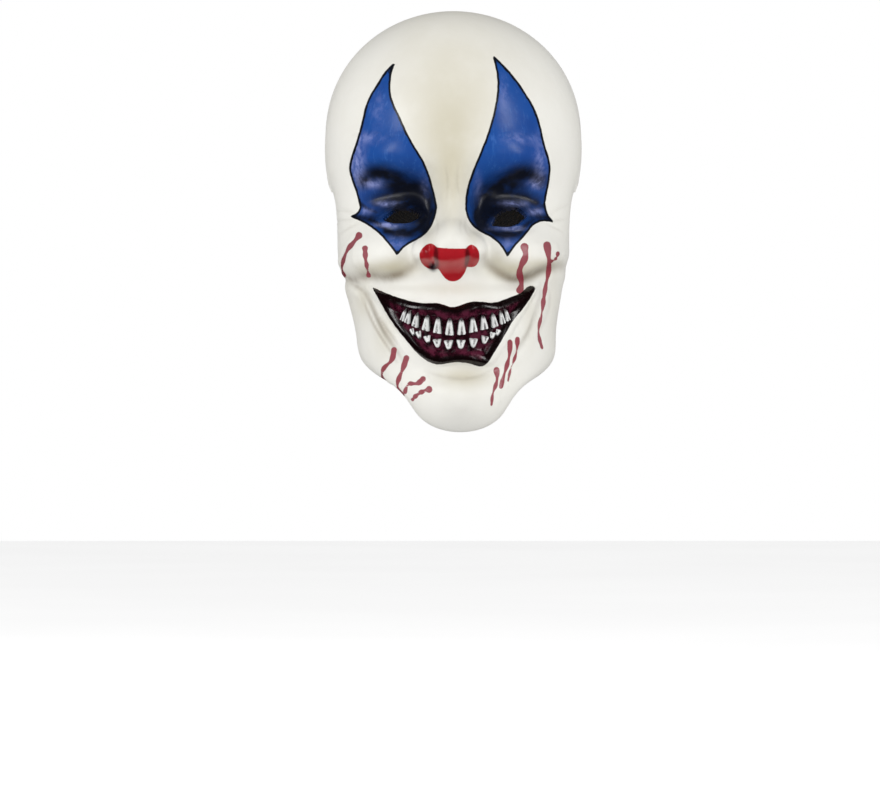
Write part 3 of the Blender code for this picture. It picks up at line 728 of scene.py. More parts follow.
def shell_mesh(name, outer, inner, kept):
    """Closed shell of two grids a wall apart, with walls along every open edge."""
    rows, columns = outer.shape[:2]
    count = rows * columns
    quads = []
    for row, column in zip(*np.nonzero(kept)):
        corner = row * columns + column
        quads.append((corner, corner + 1, corner + columns + 1, corner + columns))
    edges = {}
    for quad in quads:
        for here, following in zip(quad, quad[1:] + quad[:1]):
            edges[(here, following)] = True
    faces = [tuple(reversed(quad)) for quad in quads]
    faces += [tuple(count + corner for corner in quad) for quad in quads]
    for here, following in edges:
        if (following, here) not in edges:
            faces.append((here, following, count + following, count + here))
    data = bpy.data.meshes.new(name)
    points = np.concatenate((outer.reshape(-1, 3), inner.reshape(-1, 3)))
    data.from_pydata(points.tolist(), [], faces)
    return data


def add_attribute(data, name, values):
    attribute = data.attributes.new(name, "FLOAT", "POINT")
    attribute.data.foreach_set("value", np.asarray(values, dtype=np.float32).ravel())


def link(name, data):
    obj = bpy.data.objects.new(name, data)
    bpy.context.scene.collection.objects.link(obj)
    return obj


def outward(data):
    """Turns the faces of a closed mesh outward and drops loose points."""
    bm = bmesh.new()
    bm.from_mesh(data)
    bmesh.ops.delete(bm, geom=[v for v in bm.verts if not v.link_faces], context="VERTS")
    bmesh.ops.recalc_face_normals(bm, faces=bm.faces)
    if bm.calc_volume(signed=True) < 0:
        bmesh.ops.reverse_faces(bm, faces=bm.faces)
    bm.to_mesh(data)
    bm.free()


def finish_piece(obj, material, slot, *nodes):
    """Shades a piece smooth and ties it to the frame."""
    if material.name not in obj.data.materials:
        obj.data.materials.clear()
        obj.data.materials.append(material)
    obj.data.shade_smooth()
    obj.data.set_sharp_from_angle(angle=SHARP_ANGLE)
    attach(obj, BODY)
    if nodes:
        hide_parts(*nodes)
    return obj


def blobs(table, places):
    """Soft round patches of a table, laid over each other."""
    scale, total = stage_settings().photo_scale, np.zeros(places.shape[:-1])
    for x, y, spread_x, spread_y, strength in table:
        off = (places - at_photo((x, y))) / (np.array((spread_x, spread_y)) * scale)
        total = 1 - (1 - total) * (1 - strength * np.exp(-(off**2).sum(axis=-1)))
    return total


def fold_depth(places):
    """How deep the folds are, in mm, for the painted shade that darkens them."""
    folds = [depth * ridge(distance, 0, 0.75 * width) for width, depth, distance in creases_near(places)]
    return np.maximum.reduce([np.zeros(places.shape[:-1]), *folds])


def airbrushed(places):
    """Airbrushed black, as soft patches and strokes."""
    soot = blobs(SOOT, places)
    for half, strength, points in AIRBRUSH:
        distance = nearest_on(at_photo(smooth_run(points, 4)), places)[0]
        soot = np.maximum(soot, strength * ridge(distance, 0, half * stage_settings().photo_scale))
    return soot


def paint_values(outer):
    """Every painted field of the skin, by name, for the outer face; depths are in mm."""
    places, front = seen_from_front(outer), outer[..., 1] < 0
    nostril = np.linalg.norm(places - at_photo(NOSTRIL_PAINT), axis=-1)
    depths = {
        "blue_depth": deepest(BLUE_PATCHES, places),
        "grin_depth": depth_inside(grin_outline(), places),
        "nose_depth": deepest((NOSE_OUTLINE,), places),
        "drip_depth": drip_depth(places),
        "eye_depth": deepest(EYES, places),
    }
    strengths = {
        "soot": airbrushed(places),
        "shade": blobs(SHADES, places),
        "gleam": blobs(GLEAMS, places),
        "fold": fold_depth(places),
        "nostril": np.exp(-(nostril / NOSTRIL_PAINT_REACH) ** 4),
    }
    fields = {name: np.where(front, depth / MM, FAR_OUTSIDE) for name, depth in depths.items()}
    fields.update({name: np.where(front, strength, 0) for name, strength in strengths.items()})
    return fields


# Materials and their node groups


class Nodes:
    """Short words for building a node tree."""

    def __init__(self, tree):
        self.tree = tree
        self.column = 0

    def add(self, kind, inputs=(), **settings):
        node = self.tree.nodes.new(kind)
        self.column += 1
        node.location = (180 * (self.column % 12), -260 * (self.column // 12))
        for name, value in settings.items():
            setattr(node, name, value)
        for key, value in dict(inputs).items():
            if isinstance(value, bpy.types.NodeSocket):
                self.tree.links.new(value, node.inputs[key])
            else:
                node.inputs[key].default_value = value
        return node

    def math(self, operation, first, second=0.0, clamp=False):
        node = self.add("ShaderNodeMath", {0: first, 1: second}, operation=operation)
        node.use_clamp = clamp
        return node.outputs[0]

    def times(self, first, second, clamp=False):
        return self.math("MULTIPLY", first, second, clamp)

    def plus(self, first, second):
        return self.math("ADD", first, second)

    def ramp(self, value, low, high, to_low=0.0, to_high=1.0):
        node = self.add("ShaderNodeMapRange", {
            "Value": value, "From Min": low, "From Max": high,
            "To Min": to_low, "To Max": to_high}, interpolation_type="SMOOTHSTEP")
        return node.outputs["Result"]

    def mix(self, factor, first, second):
        ends = [end if isinstance(end, bpy.types.NodeSocket) else (*end[:3], 1) for end in (first, second)]
        node = self.add("ShaderNodeMix", {0: factor, 6: ends[0], 7: ends[1]}, data_type="RGBA")
        return node.outputs[2]

    def blend(self, factor, first, second):
        node = self.add("ShaderNodeMix", {0: factor, 2: first, 3: second}, data_type="FLOAT")
        return node.outputs[0]

    def noise(self, vector, scale, detail=3.0, roughness=0.55):
        node = self.add("ShaderNodeTexNoise", {
            "Vector": vector, "Scale": scale, "Detail": detail, "Roughness": roughness})
        return node.outputs["Fac"]

    def attribute(self, name):
        return self.add("ShaderNodeAttribute", attribute_name=name).outputs["Fac"]

    def group(self, name, inputs):
        if name not in bpy.data.node_groups:
            SHADER_GROUPS[name]()
        return self.add("ShaderNodeGroup", inputs, node_tree=bpy.data.node_groups[name])


def new_group(name, inputs, outputs):
    """A shader node group with named sockets."""
    tree = bpy.data.node_groups.new(name, "ShaderNodeTree")
    for label, kind, default in inputs:
        socket = tree.interface.new_socket(name=label, in_out="INPUT", socket_type=kind)
        if default is not None:
            socket.default_value = default
    for label, kind in outputs:
        tree.interface.new_socket(name=label, in_out="OUTPUT", socket_type=kind)
    nodes = Nodes(tree)
    return nodes, nodes.add("NodeGroupInput").outputs, nodes.add("NodeGroupOutput").inputs


def build_paint_edge():
    """Group that turns a painted depth in mm into a mask with a hand-brushed edge."""
    nodes, given, put = new_group(
        "Painted edge",
        (("Depth", "NodeSocketFloat", 0.0), ("Vector", "NodeSocketVector", None),
         ("Wobble", "NodeSocketFloat", 0.5), ("Softness", "NodeSocketFloat", 0.2)),
        (("Mask", "NodeSocketFloat"),))
    wave = nodes.noise(given["Vector"], 260.0, 2.0)
    shift = nodes.times(nodes.math("SUBTRACT", wave, 0.5), given["Wobble"])
    moved = nodes.plus(given["Depth"], shift)
    low = nodes.times(given["Softness"], -1.0)
    mask = nodes.add("ShaderNodeMapRange", {
        "Value": moved, "From Min": low, "From Max": given["Softness"]},
        interpolation_type="SMOOTHSTEP").outputs["Result"]
    nodes.tree.links.new(mask, put["Mask"])


def build_latex_grain():
    """Group with the fine bumps and the mottling of cast latex."""
    nodes, given, put = new_group(
        "Latex grain",
        (("Vector", "NodeSocketVector", None), ("Pore Scale", "NodeSocketFloat", 1400.0)),
        (("Height", "NodeSocketFloat"), ("Mottle", "NodeSocketFloat")))
    pores = nodes.noise(given["Vector"], given["Pore Scale"], 2.0)
    lumps = nodes.noise(given["Vector"], 190.0, 4.0)
    height = nodes.plus(nodes.times(pores, 0.35), nodes.times(lumps, 0.9))
    mottle = nodes.noise(given["Vector"], 34.0, 5.0, 0.6)
    nodes.tree.links.new(height, put["Height"])
    nodes.tree.links.new(mottle, put["Mottle"])


def build_brush_streaks():
    """Group with the streaks that a stiff brush leaves along the strokes."""
    nodes, given, put = new_group(
        "Brush streaks",
        (("Vector", "NodeSocketVector", None), ("Turn", "NodeSocketFloat", 0.0)),
        (("Streak", "NodeSocketFloat"),))
    turn = nodes.add("ShaderNodeCombineXYZ", {"Y": given["Turn"]}).outputs[0]
    mapped = nodes.add("ShaderNodeMapping", {
        "Vector": given["Vector"], "Rotation": turn, "Scale": (420.0, 420.0, 60.0)}).outputs[0]
    streak = nodes.noise(mapped, 1.0, 4.0, 0.62)
    nodes.tree.links.new(nodes.ramp(streak, 0.52, 0.74), put["Streak"])


SHADER_GROUPS = {
    "Painted edge": build_paint_edge,
    "Latex grain": build_latex_grain,
    "Brush streaks": build_brush_streaks,
}


def new_material(name):
    """A material with its node helper, its shader and its object coordinates."""
    material = bpy.data.materials.new(name)
    material.use_nodes = True
    nodes = Nodes(material.node_tree)
    shader = material.node_tree.nodes["Principled BSDF"]
    place = nodes.add("ShaderNodeTexCoord").outputs["Object"]
    return material, nodes, shader, place


def set_bump(nodes, shader, height, strength, distance):
    """Puts a bump of a height field on the shader."""
    bump = nodes.add("ShaderNodeBump", {
        "Height": height, "Strength": strength, "Distance": distance})
    nodes.tree.links.new(bump.outputs[0], shader.inputs["Normal"])


def painted_latex():
    """The skin's paint: white ground, sallow shading that is partly painted shade, painted shade in
    the folds, blue patches with painted highlights, black lines and airbrush, dark lips, red nose and
    painted runs, and bare latex inside."""
    material, nodes, shader, place = new_material("painted_latex")
    paint, join = colours(), nodes.tree.links.new
    grain = nodes.group("Latex grain", {"Vector": place})
    mottle = grain.outputs["Mottle"]

    def edge(field, wobble, softness, shift=0.0):
        depth = nodes.plus(nodes.attribute(field), shift)
        return nodes.group("Painted edge", {
            "Depth": depth, "Vector": place, "Wobble": wobble, "Softness": softness}).outputs[0]

    worn = nodes.ramp(mottle, 0.35, 0.75, 0.0, 0.16)
    ground = nodes.mix(worn, paint.skin, paint.worn_skin)
    # Sallow shading, partly painted shade where less light falls.
    shade = nodes.times(nodes.attribute("shade"), nodes.ramp(mottle, 0.1, 0.6, 0.65, 1.0))
    ground = nodes.mix(shade, ground, paint.shade)
    # Painted shade in the folds, darker where a crease is deeper.
    crease_shade = nodes.times(nodes.attribute("fold"), nodes.ramp(mottle, 0.3, 0.6, 0.16, 0.34), True)
    ground = nodes.mix(crease_shade, ground, paint.crease_shade)

    streaks = nodes.group("Brush streaks", {"Vector": place, "Turn": 0.5}).outputs[0]
    blue = nodes.mix(nodes.times(streaks, 0.38), paint.blue, paint.pale_blue)
    blue = nodes.mix(nodes.ramp(mottle, 0.3, 0.7, 0.0, 0.45), blue, paint.deep_blue)
    # The painted fold shade also darkens the blue towards black.
    blue = nodes.mix(nodes.times(crease_shade, 0.8), blue, paint.black)
    soot_noise = nodes.noise(place, 120.0, 4.0, 0.6)
    soot = nodes.times(nodes.attribute("soot"), nodes.ramp(soot_noise, 0.25, 0.6, 0.85, 1.2))
    blue = nodes.mix(nodes.math("MINIMUM", nodes.math("POWER", soot, 0.85), 0.985), blue, paint.black)
    # Painted highlights on the blue, broken into patches by this noise.
    rubbed = nodes.noise(place, 190.0, 5.0, 0.62)
    gleam = nodes.times(nodes.attribute("gleam"), nodes.ramp(rubbed, 0.38, 0.62, 0.25, 1.0))
    blue = nodes.mix(gleam, blue, paint.gleam)
    blue_mask = edge("blue_depth", 0.6, 0.20)
    look = nodes.mix(blue_mask, ground, blue)
    rim = edge("blue_depth", 0.6, 0.20, 0.55)
    outline = nodes.math("SUBTRACT", rim, edge("blue_depth", 1.1, 0.30, -0.80))
    look = nodes.mix(outline, look, paint.black)

    drip = edge("drip_depth", 0.5, 0.22)
    drip_colour = nodes.mix(nodes.ramp(mottle, 0.4, 0.62, 0.0, 0.75), paint.drip, paint.deep_drip)
    look = nodes.mix(nodes.times(drip, 0.94), look, drip_colour)

    grin = edge("grin_depth", 0.8, 0.20)
    flecks = nodes.noise(place, 170.0, 4.0, 0.65)
    gum_flecks = nodes.ramp(flecks, 0.38, 0.62, 0.10, 1.0)
    gums = nodes.times(edge("grin_depth", 2.4, 1.4, -4.6), gum_flecks)
    lips = nodes.mix(gums, paint.lips, paint.gums)
    look = nodes.mix(grin, look, lips)

    nose = edge("nose_depth", 0.5, 0.25)
    red = nodes.mix(nodes.ramp(mottle, 0.35, 0.7, 0.0, 0.4), paint.nose, paint.deep_red)
    # Painted shade in the nose's creases, from the same fold depth.
    red = nodes.mix(nodes.times(nodes.attribute("fold"), 0.85, True), red, paint.nose_crease_shade)
    look = nodes.mix(nose, look, red)
    look = nodes.mix(nodes.attribute("nostril"), look, paint.black)

    inside = nodes.attribute("inside")
    bare = nodes.mix(nodes.ramp(mottle, 0.3, 0.7, 0.0, 0.5), paint.latex, paint.aged_latex)
    look = nodes.mix(inside, look, bare)
    join(look, shader.inputs["Base Color"])

    rough = nodes.blend(blue_mask, nodes.ramp(mottle, 0.3, 0.7, 0.36, 0.46), 0.33)
    rough = nodes.blend(drip, rough, 0.24)
    rough = nodes.blend(grin, rough, nodes.ramp(flecks, 0.35, 0.65, 0.12, 0.34))
    rough = nodes.blend(nose, rough, 0.34)
    rough = nodes.blend(inside, rough, 0.62)
    join(rough, shader.inputs["Roughness"])
    coat = nodes.math("MAXIMUM", nodes.times(nose, 0.42), nodes.times(grin, 0.20))
    join(coat, shader.inputs["Coat Weight"])
    shader.inputs["Coat Roughness"].default_value = 0.04
    shader.inputs["Specular IOR Level"].default_value = 0.25
    strokes = nodes.times(streaks, nodes.times(blue_mask, 0.35))
    height = nodes.plus(grain.outputs["Height"], strokes)
    height = nodes.plus(height, nodes.times(flecks, nodes.times(grin, 2.2)))
    set_bump(nodes, shader, height, 0.22, 0.0005)
    return material


def tooth_paint():
    """Silver white dry-brushed on the raised edges of each tooth, dark in the middle."""
    material, nodes, shader, place = new_material("tooth_paint")
    paint, join = colours(), nodes.tree.links.new
    across, up = nodes.attribute("across"), nodes.attribute("up")
    wear = nodes.noise(place, 620.0, 3.0)
    side = nodes.math("ABSOLUTE", across)
    middle = nodes.math("SUBTRACT", 1.0, nodes.ramp(side, 0.05, 0.45))
    streak = nodes.times(middle, nodes.ramp(up, 0.92, 0.25))
    streak = nodes.times(streak, nodes.ramp(wear, 0.34, 0.50))
    root = nodes.ramp(nodes.plus(up, nodes.times(wear, 0.3)), 0.92, 1.18)
    dark = nodes.math("MAXIMUM", nodes.times(streak, 0.95), root)
    dark = nodes.math("MAXIMUM", dark, nodes.ramp(side, 0.82, 1.0))
    look = nodes.mix(dark, paint.tooth, paint.tooth_dark)
    look = nodes.mix(nodes.ramp(wear, 0.55, 0.75, 0.0, 0.5), look, paint.tooth_wear)
    join(look, shader.inputs["Base Color"])
    join(nodes.ramp(wear, 0.3, 0.7, 0.22, 0.42), shader.inputs["Roughness"])
    shader.inputs["Coat Weight"].default_value = 0.3
    set_bump(nodes, shader, wear, 0.25, 0.0004)
    return material


def bare_latex():
    """Unpainted latex of the patches, a little grubby at random."""
    material, nodes, shader, place = new_material("bare_latex")
    grain = nodes.group("Latex grain", {"Vector": place, "Pore Scale": 900.0})
    dirt = nodes.ramp(grain.outputs["Mottle"], 0.35, 0.7, 0.0, 0.55)
    look = nodes.mix(dirt, colours().latex, colours().patch_dirt)
    nodes.tree.links.new(look, shader.inputs["Base Color"])
    rough = nodes.ramp(grain.outputs["Mottle"], 0.3, 0.7, 0.5, 0.7)
    nodes.tree.links.new(rough, shader.inputs["Roughness"])
    set_bump(nodes, shader, grain.outputs["Height"], 0.35, 0.0006)
    return material


def woven_elastic():
    """Black woven elastic: fine cross threads over the ribs, with a dull sheen."""
    material, nodes, shader, place = new_material("woven_elastic")
    along = nodes.attribute("along")
    threads = nodes.math("SINE", nodes.times(along, 5200.0))
    fuzz = nodes.noise(place, 1500.0, 3.0)
    tone = nodes.plus(nodes.times(threads, 0.5), 0.5)
    look = nodes.mix(nodes.times(tone, fuzz), colours().elastic, colours().thread)
    nodes.tree.links.new(look, shader.inputs["Base Color"])
    nodes.tree.links.new(nodes.ramp(fuzz, 0.3, 0.7, 0.7, 0.9), shader.inputs["Roughness"])
    shader.inputs["Sheen Weight"].default_value = 0.10
    shader.inputs["Specular IOR Level"].default_value = 0.2
    set_bump(nodes, shader, nodes.plus(tone, nodes.times(fuzz, 0.5)), 0.5, 0.0003)
    return material


def studio_white():
    """Matte pale floor with a breath of variation, lifted towards the white behind it."""
    material, nodes, shader, place = new_material("studio_white")
    tone = nodes.noise(place, 2.0, 2.0)
    look = nodes.mix(nodes.ramp(tone, 0.3, 0.7, 0.0, 1.0), (0.90, 0.90, 0.90), (0.93, 0.93, 0.93))
    nodes.tree.links.new(look, shader.inputs["Base Color"])
    seen = nodes.add("ShaderNodeLightPath").outputs["Is Camera Ray"]
    nodes.tree.links.new(nodes.times(seen, FLOOR_LIFT), shader.inputs["Emission Strength"])
    shader.inputs["Emission Color"].default_value = (1, 1, 1, 1)
    shader.inputs["Roughness"].default_value = 0.9
    return material


# Geometry Nodes


def geometry_tree(name, inputs):
    """A geometry node tree with named inputs besides its geometry."""
    tree = bpy.data.node_groups.new(name, "GeometryNodeTree")
    tree.interface.new_socket(name="Geometry", in_out="INPUT", socket_type="NodeSocketGeometry")
    for label, kind in inputs:
        tree.interface.new_socket(name=label, in_out="INPUT", socket_type=kind)
    tree.interface.new_socket(name="Geometry", in_out="OUTPUT", socket_type="NodeSocketGeometry")
    nodes = Nodes(tree)
    return nodes, nodes.add("NodeGroupInput").outputs, nodes.add("NodeGroupOutput").inputs


def close_tree(nodes, geometry, material, put):
    """Ends a tree in Realize Instances and Set Material."""
    real = nodes.add("GeometryNodeRealizeInstances", {"Geometry": geometry}).outputs[0]
    coated = nodes.add("GeometryNodeSetMaterial", {"Geometry": real, "Material": material}).outputs[0]
    nodes.tree.links.new(coated, put["Geometry"])


def teeth_tree():
    """Sets a tooth on every point, turned and sized by the point's own values."""
    nodes, given, put = geometry_tree("Rows of teeth", (
        ("Tooth", "NodeSocketObject"), ("Size", "NodeSocketFloat"), ("Material", "NodeSocketMaterial")))
    tooth = nodes.add("GeometryNodeObjectInfo", {"Object": given["Tooth"]}).outputs["Geometry"]
    named = {}
    for label in ("turn", "extent"):
        named[label] = nodes.add(
            "GeometryNodeInputNamedAttribute", {"Name": label}, data_type="FLOAT_VECTOR").outputs[0]
    turn = nodes.add("FunctionNodeEulerToRotation", {"Euler": named["turn"]}).outputs[0]
    extent = nodes.add("ShaderNodeVectorMath", {0: named["extent"]}, operation="SCALE")
    nodes.tree.links.new(given["Size"], extent.inputs["Scale"])
    placed = nodes.add("GeometryNodeInstanceOnPoints", {
        "Points": given["Geometry"], "Instance": tooth, "Rotation": turn,
        "Scale": extent.outputs[0]}).outputs[0]
    close_tree(nodes, placed, given["Material"], put)
    return nodes.tree


def ribs_tree():
    """Runs a round thread along every line of edges."""
    nodes, given, put = geometry_tree("Woven ribs", (
        ("Radius", "NodeSocketFloat"), ("Sides", "NodeSocketInt"), ("Material", "NodeSocketMaterial")))
    line = nodes.add("GeometryNodeMeshToCurve", {"Mesh": given["Geometry"]}).outputs[0]
    ring = nodes.add("GeometryNodeCurvePrimitiveCircle", {
        "Resolution": given["Sides"], "Radius": given["Radius"]}).outputs["Curve"]
    tube = nodes.add("GeometryNodeCurveToMesh", {
        "Curve": line, "Profile Curve": ring, "Fill Caps": True}).outputs[0]
    close_tree(nodes, tube, given["Material"], put)
    return nodes.tree


def grown(name, source, tree, values):
    """Plain mesh that a node tree grows from a source mesh; the source is dropped."""
    seed = link(f"{name}_seed", source)
    modifier = seed.modifiers.new(tree.name, "NODES")
    modifier.node_group = tree
    for item in tree.interface.items_tree:
        if item.in_out == "INPUT" and item.name in values:
            modifier[item.identifier] = values[item.name]
    evaluated = seed.evaluated_get(bpy.context.evaluated_depsgraph_get())
    data = bpy.data.meshes.new_from_object(evaluated)
    bpy.data.objects.remove(seed)
    data.name = name
    return link(name, data)


# Pieces


def skin_grids():
    """Outer and inner face of the finished skin and the squares that stay."""
    outer = carve()
    kept = open_eyes(outer)
    normals = grid_normals(smoothed(outer, 14))
    inner = smoothed(outer, 6) - normals * sizes().wall
    return outer, inner, kept


def build_skin():
    """The painted skin as one closed shell with its painted fields."""
    outer, inner, kept = skin_grids()
    data = shell_mesh("mask_skin_painted", outer, inner, kept)
    values = paint_values(outer)
    for name, field in values.items():
        add_attribute(data, name, np.concatenate((field.ravel(), field.ravel())))
    bare = smooth_step(2.0, 6.0, -values["eye_depth"]).ravel()
    add_attribute(data, "inside", np.concatenate((bare * 0, bare)))
    outward(data)
    skin = link("painted_skin", data)
    finish_piece(skin, painted_latex(), "painted_latex", "mask_skin")


def wall_tree(face):
    """Search tree of one face of the skin."""
    rows, columns = face.shape[:2]
    quads = [
        (r * columns + c, r * columns + c + 1, (r + 1) * columns + c + 1, (r + 1) * columns + c)
        for r in range(rows - 1) for c in range(columns - 1)
    ]
    return BVHTree.FromPolygons(face.reshape(-1, 3).tolist(), quads)


def tooth_mesh(steps=10):
    """One tooth one unit across, high and deep: wide at its bite edge, rounded at its
    root, domed in front. Its edge is at the origin, its root up, and it faces -Y."""
    across, up = np.meshgrid(np.linspace(-1, 1, steps + 1), np.linspace(0, 1, steps + 1))
    root = np.sqrt(np.clip(1 - np.clip((up - 0.72) / 0.30, 0, 1) ** 2, 0, 1))
    corner = 1 - 0.14 * np.clip(1 - up * 8, 0, 1) ** 2
    half = 0.5 * (1 - 0.60 * up) * root * corner
    dome = np.clip(1 - np.abs(across) ** 3, 0, 1) ** 0.5
    edge = np.clip(1 - np.clip(1 - up * 9, 0, 1) ** 2, 0.02, 1) ** 0.5
    flutes = 0.16 * ridge(np.abs(across), 0.6, 0.2) * (1 - up)
    front = -(dome * edge * (0.95 - 0.15 * up) + flutes * edge)
    grid = np.stack((across * half, front, up), axis=-1)
    back = grid.copy()
    back[..., 1] = 0.72
    data = shell_mesh("tooth", grid, back, np.ones((steps, steps), dtype=bool))
    for name, values in (("across", across), ("up", up)):
        add_attribute(data, name, np.concatenate((values.ravel(), values.ravel())))
    outward(data)
    return data


def on_skin(wall, pixel):
    """Where the camera's ray through a pixel meets the skin, and the skin's normal."""
    stage, place, axis = stage_settings(), at_photo(pixel), camera_axis()
    eye = Vector((axis[0], stage.face_plane - stage.distance, axis[1]))
    aim = Vector((place[0], stage.face_plane, place[1]))
    hit, normal, _, _ = wall.ray_cast(eye, aim - eye)
    return hit, normal if normal.y < 0 else -normal


def tooth_places():
    """Pixels of the bite edge and root of every tooth, and its width in metres."""
    for count, half, bite, bite_rise, root, root_rise in TOOTH_ROWS:
        for index in range(count):
            turn = TOOTH_FAN * ((index + 0.5) / count * 2 - 1)
            share = math.sin(turn) / math.sin(TOOTH_FAN)
            jitter = math.sin(index * 5.3 + count)
            x = TEETH_MIDDLE + half * math.sin(turn) + 0.8 * jitter
            width = 2 * TOOTH_FAN / count * half * (math.cos(turn) * 0.60 + 0.10)
            edge = (x, bite - bite_rise * share**2 + 0.5 * jitter)
            tip = (x - 0.05 * half * share, root - root_rise * share**2)
            yield edge, tip, (width + 1.4) * stage_settings().photo_scale


def build_teeth():
    """Both rows of teeth, seated on the gums as the camera sees them."""
    size = sizes()
    outer, _, _ = skin_grids()
    wall = wall_tree(smoothed(outer, 2))
    points, turns, extents = [], [], []
    for edge, tip, width in tooth_places():
        bite, normal = on_skin(wall, edge)
        root, root_normal = on_skin(wall, tip)
        up = (root - bite).normalized()
        across = up.cross(normal + root_normal).normalized()
        inward = up.cross(across)
        turned = Matrix((across, inward, up)).transposed()
        points.append(bite - inward * size.tooth_sink)
        turns.append(turned.to_euler())
        extents.append((width / max(abs(across.x), 0.6), size.tooth_depth, (root - bite).length))
    data = bpy.data.meshes.new("tooth_points")
    data.from_pydata(points, [], [])
    for name, values in (("turn", turns), ("extent", extents)):
        attribute = data.attributes.new(name, "FLOAT_VECTOR", "POINT")
        attribute.data.foreach_set("vector", np.array(values, dtype=np.float32).ravel())
    tooth = link("tooth_pattern", tooth_mesh())
    material = tooth_paint()
    teeth = grown("teeth", data, teeth_tree(), {"Tooth": tooth, "Size": 1.0, "Material": material})
    bpy.data.objects.remove(tooth)
    finish_piece(teeth, material, "painted_latex", "mask_skin")


def seat(wall, side, y, z):
    """Sideways place a gap inside the wall."""
    hit, normal, _, _ = wall.ray_cast(Vector((0, y, z)), Vector((side, 0, 0)))
    return None if hit is None else abs(hit.x) - SEAT_GAP / abs(normal.x)


def seat_near(wall, side, y, z):
    """Sideways place a gap inside the wall, or inside the nearest wall past the rim."""
    found = (seat(wall, side, y - step * MM / 2, z + step * MM / 2) for step in range(12))
    return next(place for place in found if place is not None)


def narrowest(wall):
    """Sideways place that clears the wall from the band's turn to the rim."""
    band, size = band_sizes(), sizes()
    heights = np.linspace(-band.back_drop, -band.side_drop + band.width / 2, 16)
    depths = np.linspace(band_turn(), size.crown_reach, 16)
    found = [seat(wall, 1, y, z) for y in depths for z in heights]
    return min(place for place in found if place is not None)


def band_turn():
    """Depth at which the band leaves the wall."""
    band = band_sizes()
    return band.patch_start + band.patch_length


def band_end():
    """Depth at which the band ends, under its patch."""
    band = band_sizes()
    return band.patch_start + band.patch_length / 4


def band_place(wall, side, y, z, half):
    """Sideways place of the band's outer face: on the wall at its end, free at its turn."""
    hold = float(1 - smooth_step(band_end(), band_turn(), y))
    return half + hold * (seat_near(wall, side, y, z) - half)


def band_stations(half, steps=48, end_steps=12):
    """One half of the band from behind to its end: y, z, outward x and y, place."""
    band, turn_y = band_sizes(), band_turn()
    back = band.back - turn_y
    stations = []
    for step in range(steps):
        share = step / (steps - 1)
        turn = math.pi / 2 * (1 - share)
        out = Vector((math.cos(turn) / half, math.sin(turn) / back)).normalized()
        z = -band.back_drop + (band.back_drop - band.side_drop) * float(smooth_step(0, 1, share))
        stations.append((turn_y + back * math.sin(turn), z, *out, half * math.cos(turn)))
    for step in range(1, end_steps + 1):
        y = turn_y + (band_end() - turn_y) * step / end_steps
        stations.append((y, -band.side_drop, 1, 0, half))
    return stations


def band_line(wall, half, share, depth):
    """A line along the band at a share of its width and a depth below its outer face."""
    band = band_sizes()
    stations = band_stations(half)
    around = [(1, station) for station in reversed(stations)]
    around += [(-1, station) for station in stations[1:]]
    line = []
    for side, (y, z, out_x, out_y, place) in around:
        height = z + band.width * (share - 0.5)
        reach = band_place(wall, side, y, height, half) if y < band_turn() else place
        line.append((side * (reach - out_x * depth), y - out_y * depth, height))
    return np.array(line)


def build_elastic():
    """The woven web of the band and the ribs on both its faces."""
    band = band_sizes()
    _, inner, _ = skin_grids()
    wall = wall_tree(inner)
    half = narrowest(wall)
    material = woven_elastic()
    radius = band.thickness * 0.24
    shares = np.linspace(0, 1, 9)
    faces = []
    for depth in (radius, band.thickness - radius):
        faces.append(np.stack([band_line(wall, half, share, depth) for share in shares], axis=1))
    kept = np.ones((len(faces[0]) - 1, len(shares) - 1), dtype=bool)
    data = shell_mesh("elastic_web", faces[0], faces[1], kept)
    steps = np.linalg.norm(np.diff(faces[0], axis=0), axis=-1)
    along = np.concatenate((np.zeros((1, len(shares))), np.cumsum(steps, axis=0)))
    add_attribute(data, "along", np.concatenate((along.ravel(), along.ravel())))
    outward(data)
    finish_piece(link("elastic_web", data), material, "woven_elastic", "head_elastic")
    points, edges, travelled = [], [], []
    inset = radius / band.width
    for share in np.linspace(inset, 1 - inset, band.ribs):
        for depth in (radius, band.thickness - radius):
            line = band_line(wall, half, share, depth)
            first = len(points)
            points.extend(line.tolist())
            edges.extend((first + i, first + i + 1) for i in range(len(line) - 1))
            travelled.extend(along[:, 4])
    source = bpy.data.meshes.new("rib_lines")
    source.from_pydata(points, edges, [])
    add_attribute(source, "along", travelled)
    values = {"Radius": radius, "Sides": 8, "Material": material}
    ribs = grown("elastic_ribs", source, ribs_tree(), values)
    finish_piece(ribs, material, "woven_elastic", "head_elastic")


def build_patch(wall, half, side, name):
    """Glued patch: flat on the wall, raised where the band passes, with a wavy cut edge."""
    band = band_sizes()
    rows, lines = 40, 48
    outer = np.zeros((rows, lines, 3))
    for row in range(rows):
        for line in range(lines):
            u, v = row / (rows - 1) * 2 - 1, line / (lines - 1) * 2 - 1
            round_u = u * math.sqrt(1 - 0.10 * v**6)
            round_v = v * math.sqrt(1 - 0.10 * u**6)
            edge = 0.012 * math.sin(7 * v + side) * abs(u) ** 3
            y = band.patch_start + band.patch_length * (0.5 + (round_u - abs(edge)) / 2)
            z = -band.side_drop + band.patch_height / 2 * round_v
            off = abs(z + band.side_drop)
            beside = smooth_step(band.width / 2 + BAND_GAP, band.patch_height / 2, off)
            ahead = smooth_step(band.patch_start, band.patch_start + band.patch_length / 5, y)
            near = seat_near(wall, side, y, z)
            over = band_place(wall, side, y, z, half) - band.thickness - 2 * BAND_GAP
            outer[row, line] = (side * (near + float(ahead * (1 - beside)) * (over - near)), y, z)
    inner = outer.copy()
    inner[..., 0] -= side * band.patch_thickness
    data = shell_mesh(name, outer, inner, np.ones((rows - 1, lines - 1), dtype=bool))
    outward(data)
    return link(name, data)


